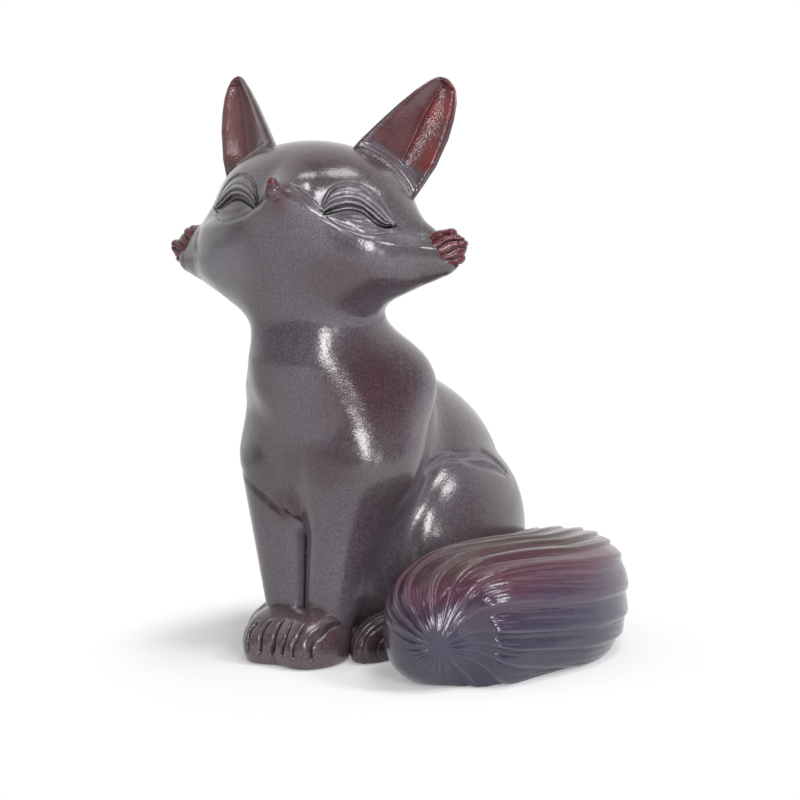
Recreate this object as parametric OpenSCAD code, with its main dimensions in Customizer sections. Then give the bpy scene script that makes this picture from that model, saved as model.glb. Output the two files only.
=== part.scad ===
// Seated fox ornament in glazed stoneware, millimetres.
// The fox sits on z = 0 and faces -Y. Its left side is +X, and the tail lies along that side.
// Head and body are hollow casts. Ears, ruffs, nose, legs, haunches, paws and tail are separate
// pieces of clay that sit on the cast skin with a thin film of slip between.

/* [Clay] */
// Thickness of the cast wall
wall = 3.4; // [2.6:0.1:4.2]
// Film of slip between two joined pieces
slip_gap = 0.2; // [0.15:0.05:0.3]
// Thickness of the slab that closes the foot
base_thick = 3; // [2:0.25:5]
// Diameter of the vent hole in the slab
vent_d = 8; // [5:0.5:10]

/* [Head] */
// Height of the middle of the skull
head_height = 85; // [83:0.5:88]
// How far the middle of the skull lies in front of the origin
head_lead = 14.5; // [13:0.5:16]
// Turn of the head to the fox's left, in degrees
head_turn = 12; // [0:1:20]
// Width of the skull
skull_width = 38; // [35:0.5:41]
// Length of the skull from brow to nape
skull_length = 32; // [30:0.5:34]
// Height of the skull
skull_height = 25.6; // [24:0.2:28]
// Width across both cheeks
cheek_width = 44; // [41:0.5:46]
// How far the cheeks hang below the middle of the skull
cheek_drop = 7.5; // [6.5:0.25:8.5]
// From the middle of the skull to the front of the muzzle
muzzle_length = 22; // [20:0.25:24]
// Thickness of the muzzle where it leaves the face
muzzle_width = 19; // [17:0.5:20]
// Rise of the muzzle's front above the middle of the skull
muzzle_lift = 4.6; // [3:0.2:6]
// Depth of the mask of the eyes behind the line over the cheeks
mask_depth = 0.95; // [0:0.05:1.2]
// Diameter of the nose button
nose_d = 3.8; // [3:0.1:4.4]
// Length of the nose button
nose_length = 2.6; // [2:0.1:3.5]

/* [Ears] */
// Length of an ear from its root to its tip
ear_length = 24; // [21:0.5:26]
// Width of an ear near its root
ear_width = 13; // [11:0.5:14]
// Distance between the roots of the ears
ear_root_span = 26; // [24:0.5:28]
// Distance between the tips of the ears
ear_tip_span = 42; // [38:0.5:46]
// How far the tips of the ears lie behind the middle of the skull
ear_sweep = 13; // [10:0.5:15]
// Depth of the valley in the front of an ear
ear_valley = 2.8; // [2:0.1:3.2]

/* [Ruffs] */
// Distance between the tips of the cheek ruffs
ruff_span = 58; // [56:0.5:60]
// Height of a ruff at its root
ruff_height = 10; // [8:0.5:11]
// Thickness of a ruff at its root
ruff_thick = 7.5; // [6:0.25:8.5]
// Number of pointed locks in a ruff
lock_count = 3; // [3:1:5]

/* [Body] */
// Width of the neck below the jaw
neck_width = 19.6; // [18:0.2:21]
// Height of the joint between neck and head
neck_seam = 64; // [63:0.5:66]
// Height of the middle of the chest
chest_height = 43; // [41:0.5:45]
// Width of the chest
chest_width = 31; // [29:0.5:33]
// Depth of the chest from front to back
chest_depth = 31.6; // [30:0.4:34]
// Height of the shoulder points
shoulder_height = 51.5; // [50:0.5:55]
// Width across the shoulders
shoulder_width = 38.8; // [37:0.2:41]
// Width across the hips
hip_width = 36; // [34:0.5:38]
// Depth of the hips from belly to rump
hip_depth = 52; // [50:0.5:55]
// Height of the hump of the back
back_height = 52; // [50:0.5:54]

/* [Legs] */
// Thickness of a foreleg where it leaves the shoulder
leg_top_d = 16; // [15:0.25:17]
// Thickness of a foreleg above the paw
leg_d = 9.4; // [8.6:0.2:10]
// Distance between the middles of the forelegs at the paws
stance = 8.6; // [8:0.2:9.6]
// How far the forelegs stand in front of the origin
leg_lead = 16.5; // [15.5:0.25:17.5]
// Height of the seat of a foreleg on its paw
ankle = 5.5; // [5:0.25:6.5]
// Length of a front paw
front_paw_length = 17.6; // [16:0.4:19]
// Width of a front paw
front_paw_width = 10; // [9:0.25:10.5]
// Height of a front paw
front_paw_height = 10; // [9:0.25:11]
// Width across both haunches
haunch_span = 48.2; // [46:0.4:50]
// Length of a haunch from knee to rump
haunch_length = 40; // [36:0.5:42]
// Height of the top of a haunch
haunch_height = 38.5; // [36:0.5:40]
// Length of a hind paw
hind_paw_length = 20; // [18:0.5:22]
// Width of a hind paw
hind_paw_width = 9.2; // [8:0.2:9.6]
// Height of a hind paw
hind_paw_height = 8.5; // [7.5:0.25:9.5]

/* [Tail] */
// Height of the brush of the tail
tail_height = 23.5; // [21:0.5:25]
// Width of the brush of the tail
tail_width = 25.6; // [24:0.4:27]
// Distance from the middle of the fox to the middle of the brush
tail_reach = 38; // [36.5:0.5:40]
// How far the tip of the tail lies in front of the origin
tail_lead = 31; // [29:0.5:34]
// Thickness of the root of the tail
tail_root_d = 14; // [12:0.5:16]
// Number of combed strands round the brush
strand_count = 20; // [14:1:22]
// Height of a strand's edge over the next strand
furrow = 1.2; // [0.3:0.1:1.4]
// How far the strands wind round the brush from root to tip, in degrees
tail_twist = 57; // [0:3:75]

/* [Hidden] */

up = [0, 0, 1];
head_c = [0, -head_lead, head_height];
head_f = [sin(head_turn), -cos(head_turn), 0];
head_l = [cos(head_turn), sin(head_turn), 0];
// How far the skull leans back over the neck, in degrees
skull_tilt = 12;
// The round of a cheek, and of the horn on it that carries a ruff
cheek_r = [11.5, 11.5, 8.5];
horn_root_r = 7.5;
horn_tip_r = 4;
// How far the chest stands in front of the middle of the neck, and the belly in front of the origin
chest_lead = 8.3;
belly_lead = 17;
// Half height of the chest, and the rounds of a shoulder at its point and where the leg leaves it
chest_r = 20;
shoulder_r = 8.3;
elbow_r = 7.3;
// Half thickness of the egg that a haunch is a slice of
haunch_r = haunch_length*0.26;
// How far the middle of a haunch, and of the loins that fill the back, lies behind that of the hips
haunch_shift = 4.5;
loin_shift = 7;

// Middles of the large forms, from the front of the body to the back
neck_y = -head_lead - 0.5;
chest_y = neck_y + chest_depth/2 - chest_lead;
hip_y = hip_depth/2 - belly_lead;
hip_z = 20;
loin_mid = [0, hip_y + loin_shift, back_height*0.56];
loin_r = [hip_width/2, hip_depth/2 - loin_shift, 18];
haunch_mid = [haunch_span/2 - haunch_r, hip_y + haunch_shift, haunch_height/2];
front_paw_mid = [stance/2 + 0.5, -leg_lead - front_paw_length/4, front_paw_height*0.35];
hind_paw_mid = [hip_width/3, hip_y - hip_depth*0.35, hind_paw_height*0.3];

// Height of the ruffs from the middle of the skull, and how far a ruff stands out from its horn
ruff_drop = -cheek_drop - 0.5;
ruff_reach = 7.5;

// Blend widths between forms that run into one another
soft_blend = 8;
firm_blend = 4;
// Room between a piece and the curved skin that it is laid on, with the flats of both
seat_gap = slip_gap + 0.2;

// A distance that joins two forms with a fillet about k wide
function join(a, b, k) = let(h = max(k - abs(a - b), 0)) min(a, b) - h*h/(4*k);

// Distance to an egg with middle c and half lengths r
function egg(p, c, r) =
    let(q = [for (i = [0:2]) (p[i] - c[i])/r[i]])
    let(m = max(norm(q), 0.05))
    m*(m - 1)/max(norm([for (i = [0:2]) q[i]/r[i]]), 0.003);

// Distance to a round limb from a, ra thick, to b, rb thick
function limb(p, a, ra, b, rb) =
    let(d = b - a)
    let(t = max(0, min(1, (p - a)*d/(d*d))))
    norm(p - a - t*d) - ra - (rb - ra)*t;

// Lengths along the head: f forward, l to the side, u up
function head_at(f, l, u) = head_c + f*head_f + l*head_l + u*up;
function head_lengths(p) = let(q = p - head_c) [q*head_f, abs(q*head_l), q.z];
function tilted(q, a) = [q.x*cos(a) + q.z*sin(a), q.y, q.z*cos(a) - q.x*sin(a)];
function both_sides(p) = [abs(p.x), p.y, p.z];

// 0 below a, 1 above b and smooth between them
function ease(x, a, b) = let(t = min(1, max(0, (x - a)/(b - a)))) t*t*(3 - 2*t);

// The face is turned and rolled a little against the head. A line falls from the nose over each
// cheek, and above it the mask of the eyes lies back
face_turn = 4;
face_roll = 3.6;
line_top = 5.6;
line_foot = 5.5;
line_fall = 9.2;
mask_fade = 9;
function cheek_line(l) = (line_top + line_foot)*exp(-abs(l)/line_fall) - line_foot;
function face_lengths(p) =
    let(q = p - head_c)
    let(f = q*head_f)
    let(l = (q*head_l)*cos(face_turn) - f*sin(face_turn))
    [f, l, q.z + l*tan(face_roll)];
function above_line(p) = let(q = face_lengths(p)) q.z - cheek_line(q.y);
function mask(p) =
    let(q = face_lengths(p))
    let(a = above_line(p))
    mask_depth*ease(a, -0.15, 0.75)*(1 - ease(a, 1, mask_fade))*ease(abs(q.y), 0.8, 3.2)*ease(q.x, 1, 7);

// The skull, the cheeks under it, the muzzle and the horn of each cheek that carries a ruff
function head_skin(p) =
    let(q = head_lengths(p))
    let(skull = egg(tilted(q, skull_tilt), [0, 0, 0], [skull_length, skull_width, skull_height]/2))
    let(cheek = egg(q, [3, cheek_width/2 - cheek_r.y, -cheek_drop], cheek_r))
    let(muzzle = limb(q, [6, 0, -3], muzzle_width/2, [muzzle_length - 1.4, 0, muzzle_lift], 1.3))
    let(horn = limb(q, [1, cheek_width/2 - 8, ruff_drop], horn_root_r,
        [-0.5, ruff_span/2 - ruff_reach, ruff_drop], horn_tip_r))
    join(join(join(skull, cheek, firm_blend + 2), muzzle, soft_blend), horn, firm_blend + 1) + mask(p);

function neck_skin(p) =
    limb(p, [0, neck_y - 0.3, 76], neck_width/2, [0, neck_y + 1.5, 58], neck_width/2 + 1.8);

// The chest, the hips and loins behind it, and the shoulders
function torso_skin(p) =
    let(q = both_sides(p))
    let(chest = egg(q, [0, chest_y, chest_height], [chest_width/2, chest_depth/2, chest_r]))
    let(hips = egg(q, [0, hip_y, hip_z], [hip_width/2, hip_depth/2, back_height - hip_z]))
    let(back = join(hips, egg(q, loin_mid, loin_r), soft_blend))
    let(x = shoulder_width/2 - shoulder_r)
    let(shoulder = limb(q, [x, chest_y + 3, shoulder_height], shoulder_r,
        [x - 1.5, chest_y - 5, 38], elbow_r))
    join(join(chest, back, soft_blend), shoulder, firm_blend);

// Above this height the head and neck reach into the skin of the body
neck_reach = 38;
function skin(p) = p.z < neck_reach ? torso_skin(p)
    : join(torso_skin(p), join(head_skin(p), neck_skin(p), soft_blend + 1), soft_blend);

leg_top = [leg_top_d/2 - 0.2, 2.2 - leg_lead, 36];
leg_foot = [stance/2, -leg_lead, 8];
function leg_skin(p) = limb(both_sides(p), leg_top, leg_top_d/2, leg_foot, leg_d/2);
function leg_axis(z) = leg_foot + (leg_top - leg_foot)*(z - leg_foot.z)/(leg_top.z - leg_foot.z);
function haunch_skin(p) =
    egg(both_sides(p), haunch_mid, [haunch_r, haunch_length/2, haunch_height/2]);
function front_paw_skin(p) =
    let(q = both_sides(p))
    egg(q, front_paw_mid, [front_paw_width/2, front_paw_length/2, front_paw_height*0.65]);
function hind_paw_skin(p) =
    egg(both_sides(p), hind_paw_mid, [hind_paw_width/2, hind_paw_length/2, hind_paw_height*0.7]);

// Walks from c along d until the distance f has the value level
function walk(f, c, d, level = 0, t = 8, steps = 10) =
    steps == 0 ? t : walk(f, c, d, level, max(t - f(c + t*d) + level, 0.05), steps - 1);
// Walks from a point well outside until the distance f has fallen to the value level
function walk_in(f, c, d, level = 0, t = 0, steps = 24) =
    steps == 0 ? t : walk_in(f, c, d, level, t + f(c + t*d) - level, steps - 1);

// The same walk, stopped by the ground
function walk_on_ground(f, c, d) =
    let(t = walk(f, c, d, 0, 2, 14))
    d.z < -0.001 ? min(t, -c.z/d.z) : t;

function unit(v) = v/norm(v);
function turned(a) = [cos(a), sin(a), 0];
function flat(rows) = [for (row = rows) for (p = row) p];

// Faces between neighbouring rings of n points, and the fan that closes a ring with point tip
function band(first, second, n) = [for (j = [0:n - 1]) let(k = (j + 1) % n)
    each [[first + j, second + j, second + k], [first + j, second + k, first + k]]];
function fan(ring, tip, n) = [for (j = [0:n - 1]) [ring + j, tip, ring + (j + 1) % n]];
function backwards(faces) = [for (f = faces) [f[0], f[2], f[1]]];

// A closed skin through rings of n points, with one point before the first and one after the last
module lofted(rows, start, end) {
    n = len(rows[0]);
    m = len(rows);
    bands = [for (i = [0:m - 2]) each band(i*n, (i + 1)*n, n)];
    caps = concat(backwards(fan(0, m*n, n)), fan((m - 1)*n, m*n + 1, n));
    polyhedron(points = concat(flat(rows), [start, end]), faces = concat(bands, caps));
}

// A piece and its mirror image, for the left and the right of the body
module on_side(side) {
    if (side > 0) children();
    else mirror([1, 0, 0]) children();
}

/* The cast body: rings from the foot to the neck, outside and back down the inside */
body_sides = 44;
outer_rings = 23;
inner_rings = 9;
function spine_y(z) = let(t = min(1, max(0, z/neck_seam))) hip_y + (neck_y - hip_y)*t*t*(3 - 2*t);
function body_ring(z, level, n) =
    let(c = [0, spine_y(z), z])
    [for (j = [0:n - 1]) let(d = turned(360*j/n)) c + d*walk(function(p) skin(p), c, d, level, 12, 12)];

module body_shell() color("#6c6569") {
    n = body_sides;
    outside = [for (i = [0:outer_rings - 1]) body_ring(neck_seam*i/(outer_rings - 1), 0, n)];
    inside = [for (i = [inner_rings - 1:-1:0]) body_ring(neck_seam*i/(inner_rings - 1), -wall, n)];
    rings = concat(outside, inside);
    m = len(rings);
    polyhedron(points = flat(rings), faces = [for (i = [0:m - 1]) each band(i*n, ((i + 1) % m)*n, n)]);
}

/* The cast head: meridians that start at the neck joint and meet on the crown */
head_sides = 54;
head_rows = 24;
head_inner_rows = 8;
head_middle = head_at(1, 0, -3);
function between(a, b, t) = let(w = acos(a*b)) (a*sin((1 - t)*w) + b*sin(t*w))/sin(w);
function neck_point(j, level) =
    let(c = [0, neck_y, neck_seam])
    let(d = turned(head_turn - 90 + 360*j/head_sides))
    c + d*walk(function(p) skin(p), c, d, level, 12, 12);
function head_point(start, s, level) =
    let(d = between(start, up, s))
    head_middle + d*walk(function(p) skin(p), head_middle, d, level, 14, 14);
function head_row(i, rows, level) = [for (j = [0:head_sides - 1])
    let(p = neck_point(j, level))
    i == 0 ? p : head_point(unit(p - head_middle), i/rows, level)];

// Outside, two rows hold the step under the mask between them: the line crosses a meridian at share s
low_rows = 9;
step_half = 0.011;
function line_share(start, lo = 0.1, hi = 0.75, n = 8) =
    let(s = (lo + hi)/2)
    n == 0 ? s : above_line(head_point(start, s, 0)) > 0.3 ? line_share(start, lo, s, n - 1)
    : line_share(start, s, hi, n - 1);
function outer_share(i, s) = i <= low_rows ? (s - step_half)*i/low_rows
    : s + step_half + (1 - s - step_half)*(i - low_rows - 1)/(head_rows - low_rows - 1);
function head_meridian(j) =
    let(p = neck_point(j, 0))
    let(start = unit(p - head_middle))
    let(s = line_share(start))
    [for (i = [0:head_rows - 1]) i == 0 ? p : head_point(start, outer_share(i, s), 0)];
function crown(level) = head_middle + up*walk(function(p) skin(p), head_middle, up, level, 14, 12);

module head_shell() color("#6f686c") {
    n = head_sides;
    meridians = [for (j = [0:n - 1]) head_meridian(j)];
    outside = [for (i = [0:head_rows - 1]) [for (j = [0:n - 1]) meridians[j][i]]];
    inside = [for (i = [0:head_inner_rows - 1]) head_row(i, head_inner_rows, -wall)];
    first_in = head_rows*n;
    top = (head_rows + head_inner_rows)*n;
    last_out = (head_rows - 1)*n;
    last_in = first_in + (head_inner_rows - 1)*n;
    faces = concat(
        [for (i = [0:head_rows - 2]) each band(i*n, (i + 1)*n, n)],
        fan(last_out, top, n),
        backwards([for (i = [0:head_inner_rows - 2]) each band(first_in + i*n, first_in + (i + 1)*n, n)]),
        backwards(fan(last_in, top + 1, n)),
        backwards(band(0, first_in, n)));
    polyhedron(points = concat(flat(outside), flat(inside), [crown(0), crown(-wall)]), faces = faces);
}

/* Pieces that stand on the skin of the head: the seat follows the skin, and rings rise from its rim */
seat_rings = [0.3, 0.55, 0.8];
function seat_height(p, a) = walk(function(q) skin(q), p - 12*a, a, slip_gap, 24, 16) - 12;
function on_plane(root, x, y, xy) = root + x*xy[0] + y*xy[1];
function seated(p, a) = p + a*seat_height(p, a);

// The piece rises along a by reach, x and y span its sections, section(angle, s) is its outline at
// the share s of its length, and tips(angle) the share of reach that each side of it ends at
module on_skin(root, a, x, y, n, rows, reach, section, tips, mirrored) {
    turns = [for (j = [0:n - 1]) (mirrored ? -360 : 360)*j/n];
    seat = [for (s = seat_rings) [for (t = turns) seated(on_plane(root, x, y, s*section(t, 0)), a)]];
    rings = [for (i = [0:rows - 1]) let(s = sin(90*i/rows)) [for (t = turns)
        let(foot = seat_height(on_plane(root, x, y, section(t, 0)), a))
        on_plane(root, x, y, section(t, s)) + a*(foot + (reach*tips(t) - foot)*s)]];
    lofted(concat(seat, rings), seated(root, a), root + a*reach*min([for (t = turns) tips(t)]));
}

// Outline of an ear across its length: a round back and a front that falls into a valley
ear_depth = ear_width*0.42;
ear_front = ear_width*0.054;
function leaf(s) = pow(1 - pow(s, 1.6), 0.8)*(0.92 + 0.3*s);
function ear_section(a, s) =
    let(front = ear_front*sin(a) - ear_valley*(1 - abs(cos(a))))
    leaf(s)*[ear_width/2*cos(a), (sin(a) > 0 ? front : ear_depth*sin(a)) + ear_depth/2];

module ear(side) {
    root = head_at(-3, side*ear_root_span/2, skull_height/3);
    tip = head_at(-ear_sweep, side*ear_tip_span/2, skull_height/3 + ear_length*0.7);
    a = unit(tip - root);
    open_to = head_f + 0.3*side*head_l;
    y = unit(open_to - (open_to*a)*a);
    x = side*cross(y, a);
    on_skin(root, a, x, y, 20, 9, ear_length*0.85, function(t, s) ear_section(t, s), function(t) 1, side < 0);
}
module ear_left() color("#7a4a4a") ear(1);
module ear_right() color("#7a4a4a") ear(-1);

// Outline of a ruff across its length: an upright paddle with a furrow between each two locks
function lock(a) = abs(cos(lock_count*90*sin(a)));
function ruff_section(a, s) =
    let(swell = sqrt(1 - pow(s, 5))*(1 + 0.15*s))
    swell*[ruff_thick/2*cos(a)*(1 - 0.3*(1 - lock(a))), ruff_height/2*sin(a)];

module ruff(side) {
    root = head_at(-0.5, side*(ruff_span/2 - ruff_reach + 0.5), ruff_drop);
    a = unit(side*head_l - 0.12*head_f + 0.1*up);
    x = unit(head_f - (head_f*a)*a);
    y = side*cross(a, x);
    on_skin(root, a, x, y, 28, 7, ruff_reach, function(t, s) ruff_section(t, s),
        function(t) 0.82 + 0.18*lock(t), side < 0);
}
module cheek_ruff_left() color("#7b3438") ruff(1);
module cheek_ruff_right() color("#7b3438") ruff(-1);

module nose_tip() color("#8a3f3c") {
    root = head_at(muzzle_length - 2, 0, muzzle_lift);
    a = unit(head_f + 0.35*up);
    on_skin(root, a, head_l, cross(a, head_l), 14, 4, nose_length + 1.6,
        function(t, s) sqrt(1 - s*s)*nose_d/2*[cos(t), sin(t)], function(t) 1, false);
}

/* Limbs that lean on the body: level sections from the foot up, each as wide as the limb and the
   body beside it allow, until the limb runs into the body */
least_thick = 0.6;
function edge_depths(f, p, d) = [walk_in(f, p, -d), walk_in(function(q) skin(q), p, -d, seat_gap)];
function thickness(f, p, d) = let(e = edge_depths(f, p, d)) e[1] - e[0];
function crest(f, beside, d, lo, hi, n = 9) =
    let(z = (lo + hi)/2)
    n == 0 ? lo : thickness(f, beside(z), d) > least_thick ? crest(f, beside, d, z, hi, n - 1)
    : crest(f, beside, d, lo, z, n - 1);
function limb_middle(f, p, d) = let(e = edge_depths(f, p, d)) p - d*(e[0] + e[1])/2;

// f is the limb's own skin, whole the skin of what it may fill, beside(z) a point that lies out
// from the limb along d, and slim how many times longer than thick the limb's sections are
module leaning(f, whole, beside, d, foot, top, slim, n, rows) {
    high = crest(f, beside, d, foot, top);
    levels = [for (i = [0:rows]) foot + (high - foot)*sin(90*i/rows)];
    rings = [for (z = levels) let(c = limb_middle(f, beside(z), d))
        [for (j = [0:n - 1]) let(a = 360*j/n)
            let(e = unit(d*cos(a) + slim*cross(up, d)*sin(a))) c + e*walk(whole, c, e, 0, 0.5, 30)]];
    lofted(rings, limb_middle(f, beside(foot), d), limb_middle(f, beside(high), d));
}

function foreleg_whole(p) = max(leg_skin(p), seat_gap - skin(p), slip_gap/2 - p.x);
module foreleg(side) on_side(side) {
    d = unit([0.5, -0.85, 0]);
    leaning(function(p) leg_skin(p), function(p) foreleg_whole(p),
        function(z) leg_axis(z) + 30*d, d, ankle, 44, 1.2, 32, 16);
}
module foreleg_left() color("#6a6367") foreleg(1);
module foreleg_right() color("#6a6367") foreleg(-1);

function haunch_whole(p) = max(haunch_skin(p), seat_gap - skin(p), seat_gap - leg_skin(p));
module haunch(side) on_side(side) {
    leaning(function(p) haunch_skin(p), function(p) haunch_whole(p),
        function(z) [haunch_mid.x + 40, haunch_mid.y, z], [1, 0, 0], 0, haunch_height, 2.2, 36, 13);
}
module haunch_left() color("#6b6466") haunch(1);
module haunch_right() color("#6b6466") haunch(-1);

/* Paws: rays from the middle of the paw, stopped by the ground and by what stands on it */
module star(c, whole, n, rows) {
    rings = [for (i = [1:rows - 1]) let(v = 180*i/rows) [for (j = [0:n - 1])
        let(d = [sin(v)*cos(-360*j/n), -cos(v), sin(v)*sin(-360*j/n)])
        c + d*walk_on_ground(whole, c, d)]];
    front = [0, -1, 0];
    lofted(rings, c + front*walk_on_ground(whole, c, front), c - front*walk_on_ground(whole, c, -front));
}

toe_depth = 0.35;
toe_count = 4;
function front_paw_whole(p) =
    let(across = (abs(p.x) - front_paw_mid.x)/front_paw_width)
    let(toes = toe_depth*abs(sin(180*toe_count*across))*min(1, max(0, -p.y - leg_lead)/5))
    max(front_paw_skin(p) - toes + toe_depth/2, seat_gap - max(leg_skin(p), ankle - p.z), slip_gap/2 - p.x,
        seat_gap - skin(p));
module front_paw(side) on_side(side) {
    c = [front_paw_mid.x, -leg_lead - front_paw_length*0.35, ankle*0.5];
    star(c, function(p) front_paw_whole(p), 24, 14);
}
module front_paw_left() color("#5e4a46") front_paw(1);
module front_paw_right() color("#5e4a46") front_paw(-1);

function hind_paw_whole(p) =
    max(hind_paw_skin(p), seat_gap - skin(p), seat_gap - haunch_skin(p), seat_gap - front_paw_skin(p));
module hind_paw(side) on_side(side) {
    c = [hind_paw_mid.x + 0.8, hind_paw_mid.y - hind_paw_length*0.18, hind_paw_height*0.35];
    star(c, function(p) hind_paw_whole(p), 18, 10);
}
module hind_paw_left() color("#5a4b48") hind_paw(1);
module hind_paw_right() color("#5a4b48") hind_paw(-1);

/* The tail: a brush that leaves the rump, swings round the left side and turns out at the tip */
tail_rows = 28;
strand_points = [0.03, 0.45, 0.86];
tail_sides = strand_count*len(strand_points);
function cubic(a, b, c, d, t) =
    pow(1 - t, 3)*a + 3*pow(1 - t, 2)*t*b + 3*(1 - t)*t*t*c + pow(t, 3)*d;
rump = hip_y + hip_depth/2;
tail_mid = [tail_reach, 3.5, tail_height*0.45];
function tail_line(t) = t < 0.5
    ? cubic([-3, rump + 2.5, tail_root_d*0.55], [22, rump + 3.5, tail_root_d*0.6],
        [tail_reach + 1.5, 21, tail_mid.z], tail_mid, 2*t)
    : cubic(tail_mid, [tail_reach - 1.8, -10.4, tail_mid.z + 0.8],
        [tail_reach - 10, 6.5 - tail_lead, tail_mid.z - 1], [tail_reach - 1.5, 0.5 - tail_lead, tail_mid.z*0.81],
        2*t - 1);
// Size of the brush along the tail as a share of its full size, with both ends rounded
tail_root = tail_root_d/tail_width;
function rounded_end(u) = sqrt(max(0, 1 - u*u));
function brush(t) =
    (tail_root + (1 - tail_root)*ease(t, 0, 0.45))
    *rounded_end(max(0, t - 0.7)/0.3)*rounded_end(max(0, 0.06 - t)/0.06);
// The section is squarer than a round and fuller on its outer side, and round at the tip
tail_square = 2.7;
outer_bulge = 0.05;
function section(a, t) =
    let(n = 2 + (tail_square - 2)*min(1, (1 - t)/0.3))
    pow(pow(abs(cos(a)), n) + pow(abs(sin(a)), n), -1/n);
function outward(a, t) = 1 + outer_bulge*max(0, -cos(a))*sin(180*min(1, t*1.25));
// Strands lie over one another like thatch and drift to and fro, so no two have the same width.
// A phase counts strands round the brush, and its fraction runs across one strand
function drift(turn, t) = 0.3*sin(360*(2*turn + 0.7*t)) + 0.2*sin(360*(5*turn - 0.5*t) + 40);
function strand_turn(phase, t, turn = 0, n = 8) =
    n == 0 ? turn : strand_turn(phase, t, (phase - drift(turn, t))/strand_count, n - 1);
function strand_lift(s) = furrow*pow(s, 1.3)*(1 - pow(s, 9));
function tail_seat(p) = min(min(skin(p), haunch_skin(p)), hind_paw_skin(p));
function tail_point(t, phase) =
    let(c = tail_line(t))
    let(ahead = unit(tail_line(min(1, t + 0.01)) - tail_line(max(0, t - 0.01))))
    let(side = unit(cross(ahead, up)))
    let(a = 360*strand_turn(phase, t, phase/strand_count) - tail_twist*t)
    let(d = side*cos(a) + cross(side, ahead)*sin(a))
    let(plain = brush(t)*section(a, t)*tail_width/2*norm([cos(a)*outward(a, t), sin(a)]))
    let(own = plain + strand_lift(phase - floor(phase))*ease(brush(t), 0.1, 0.7))
    let(r = min(own, walk(function(p) seat_gap - tail_seat(p), c, d, 0, min(own, 2), 14)))
    c + d*(d.z < -0.001 ? min(r, -c.z/d.z) : r);

module tail() color("#54505e") {
    n = tail_sides;
    last = tail_rows + 1;
    phases = [for (k = [strand_count - 1:-1:0]) for (j = [len(strand_points) - 1:-1:0]) k + strand_points[j]];
    rings = [for (i = [1:tail_rows]) [for (f = phases) tail_point((1 - cos(180*i/last))/2, f)]];
    lofted(rings, tail_line(0), tail_line(1));
}

/* The slab that closes the foot, cut to the cavity, with the vent hole behind the origin */
vent_y = 14;
module base_plate() color("#8b7f78") difference() {
    linear_extrude(height = base_thick)
        polygon([for (p = body_ring(0, -wall - slip_gap, body_sides)) [p.x, p.y]]);
    translate([0, vent_y, -1]) cylinder(h = base_thick + 2, d = vent_d, $fn = 48);
}

body_shell();
head_shell();
nose_tip();
ear_left();
ear_right();
cheek_ruff_left();
cheek_ruff_right();
foreleg_left();
foreleg_right();
front_paw_left();
front_paw_right();
haunch_left();
haunch_right();
hind_paw_left();
hind_paw_right();
tail();
base_plate();
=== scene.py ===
# %% [markdown]
# # A seated fox in kiln-change glaze
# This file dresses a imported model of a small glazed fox. The model gives each piece its place and
# its size. What is made here is what the eye reads as fired clay: skins that run into one another,
# carved eyes, a combed tail, and a glaze that is thick in the hollows and thin on the edges.

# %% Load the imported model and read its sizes
import math
import bpy
import numpy as np
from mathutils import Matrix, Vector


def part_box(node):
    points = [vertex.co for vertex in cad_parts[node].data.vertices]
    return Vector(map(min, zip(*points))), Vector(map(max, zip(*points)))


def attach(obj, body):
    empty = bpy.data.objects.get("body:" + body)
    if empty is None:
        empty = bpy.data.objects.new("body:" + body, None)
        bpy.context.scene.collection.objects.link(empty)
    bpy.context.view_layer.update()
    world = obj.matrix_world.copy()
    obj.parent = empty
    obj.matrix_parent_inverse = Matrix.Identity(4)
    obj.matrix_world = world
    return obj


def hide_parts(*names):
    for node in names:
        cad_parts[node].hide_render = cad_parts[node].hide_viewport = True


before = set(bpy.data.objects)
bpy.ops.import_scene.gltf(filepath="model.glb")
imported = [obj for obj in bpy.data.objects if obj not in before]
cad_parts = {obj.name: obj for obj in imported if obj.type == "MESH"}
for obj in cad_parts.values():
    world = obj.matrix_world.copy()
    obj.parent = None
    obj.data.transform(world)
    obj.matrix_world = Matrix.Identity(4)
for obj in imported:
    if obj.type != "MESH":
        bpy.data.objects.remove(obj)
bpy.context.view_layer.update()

import openvdb
from mathutils import Matrix

MM = 0.001
ROOT = "root"


def box_mm(node):
    low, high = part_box(node)
    return np.array(low)/MM, np.array(high)/MM


sizes = {name: box_mm(name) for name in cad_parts}
whole_height = max(high[2] for low, high in sizes.values())
print(f"{len(sizes)} nodes, {whole_height:.1f} mm over the ears")

# %% [markdown]
# ## The camera
# A product photograph is taken from far off with a long lens, so that the paws and the ears keep
# their true proportions. The camera stands half a metre away, 32 degrees round to the fox's left
# and a little above it. It is made first, because every later look goes through it.

# %% Set up the camera
VIEW_ACROSS = 32
VIEW_ABOVE = 7.5
VIEW_AWAY = 500
FOCAL_SHARE = 2575/800
SHIFT_DOWN = 12/800
NEAREST, FARTHEST = 0.01, 10
AIM = np.array([7.0, 4.4, 49.6])


def way_to(across, above):
    """The direction of a place some degrees round to the fox's left and some degrees up."""
    a, e = math.radians(across), math.radians(above)
    return np.array([math.sin(a)*math.cos(e), -math.cos(a)*math.cos(e), math.sin(e)])


def new_object(name, data):
    made = bpy.data.objects.new(name, data)
    bpy.context.scene.collection.objects.link(made)
    return made


def stand(thing, right, up, back, place):
    """Stand a camera or a lamp at a place in metres, with its back to the direction back."""
    matrix = np.eye(4)
    matrix[:3, 0], matrix[:3, 1], matrix[:3, 2], matrix[:3, 3] = right, up, back, place
    thing.matrix_world = Matrix(matrix.tolist())


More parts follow.
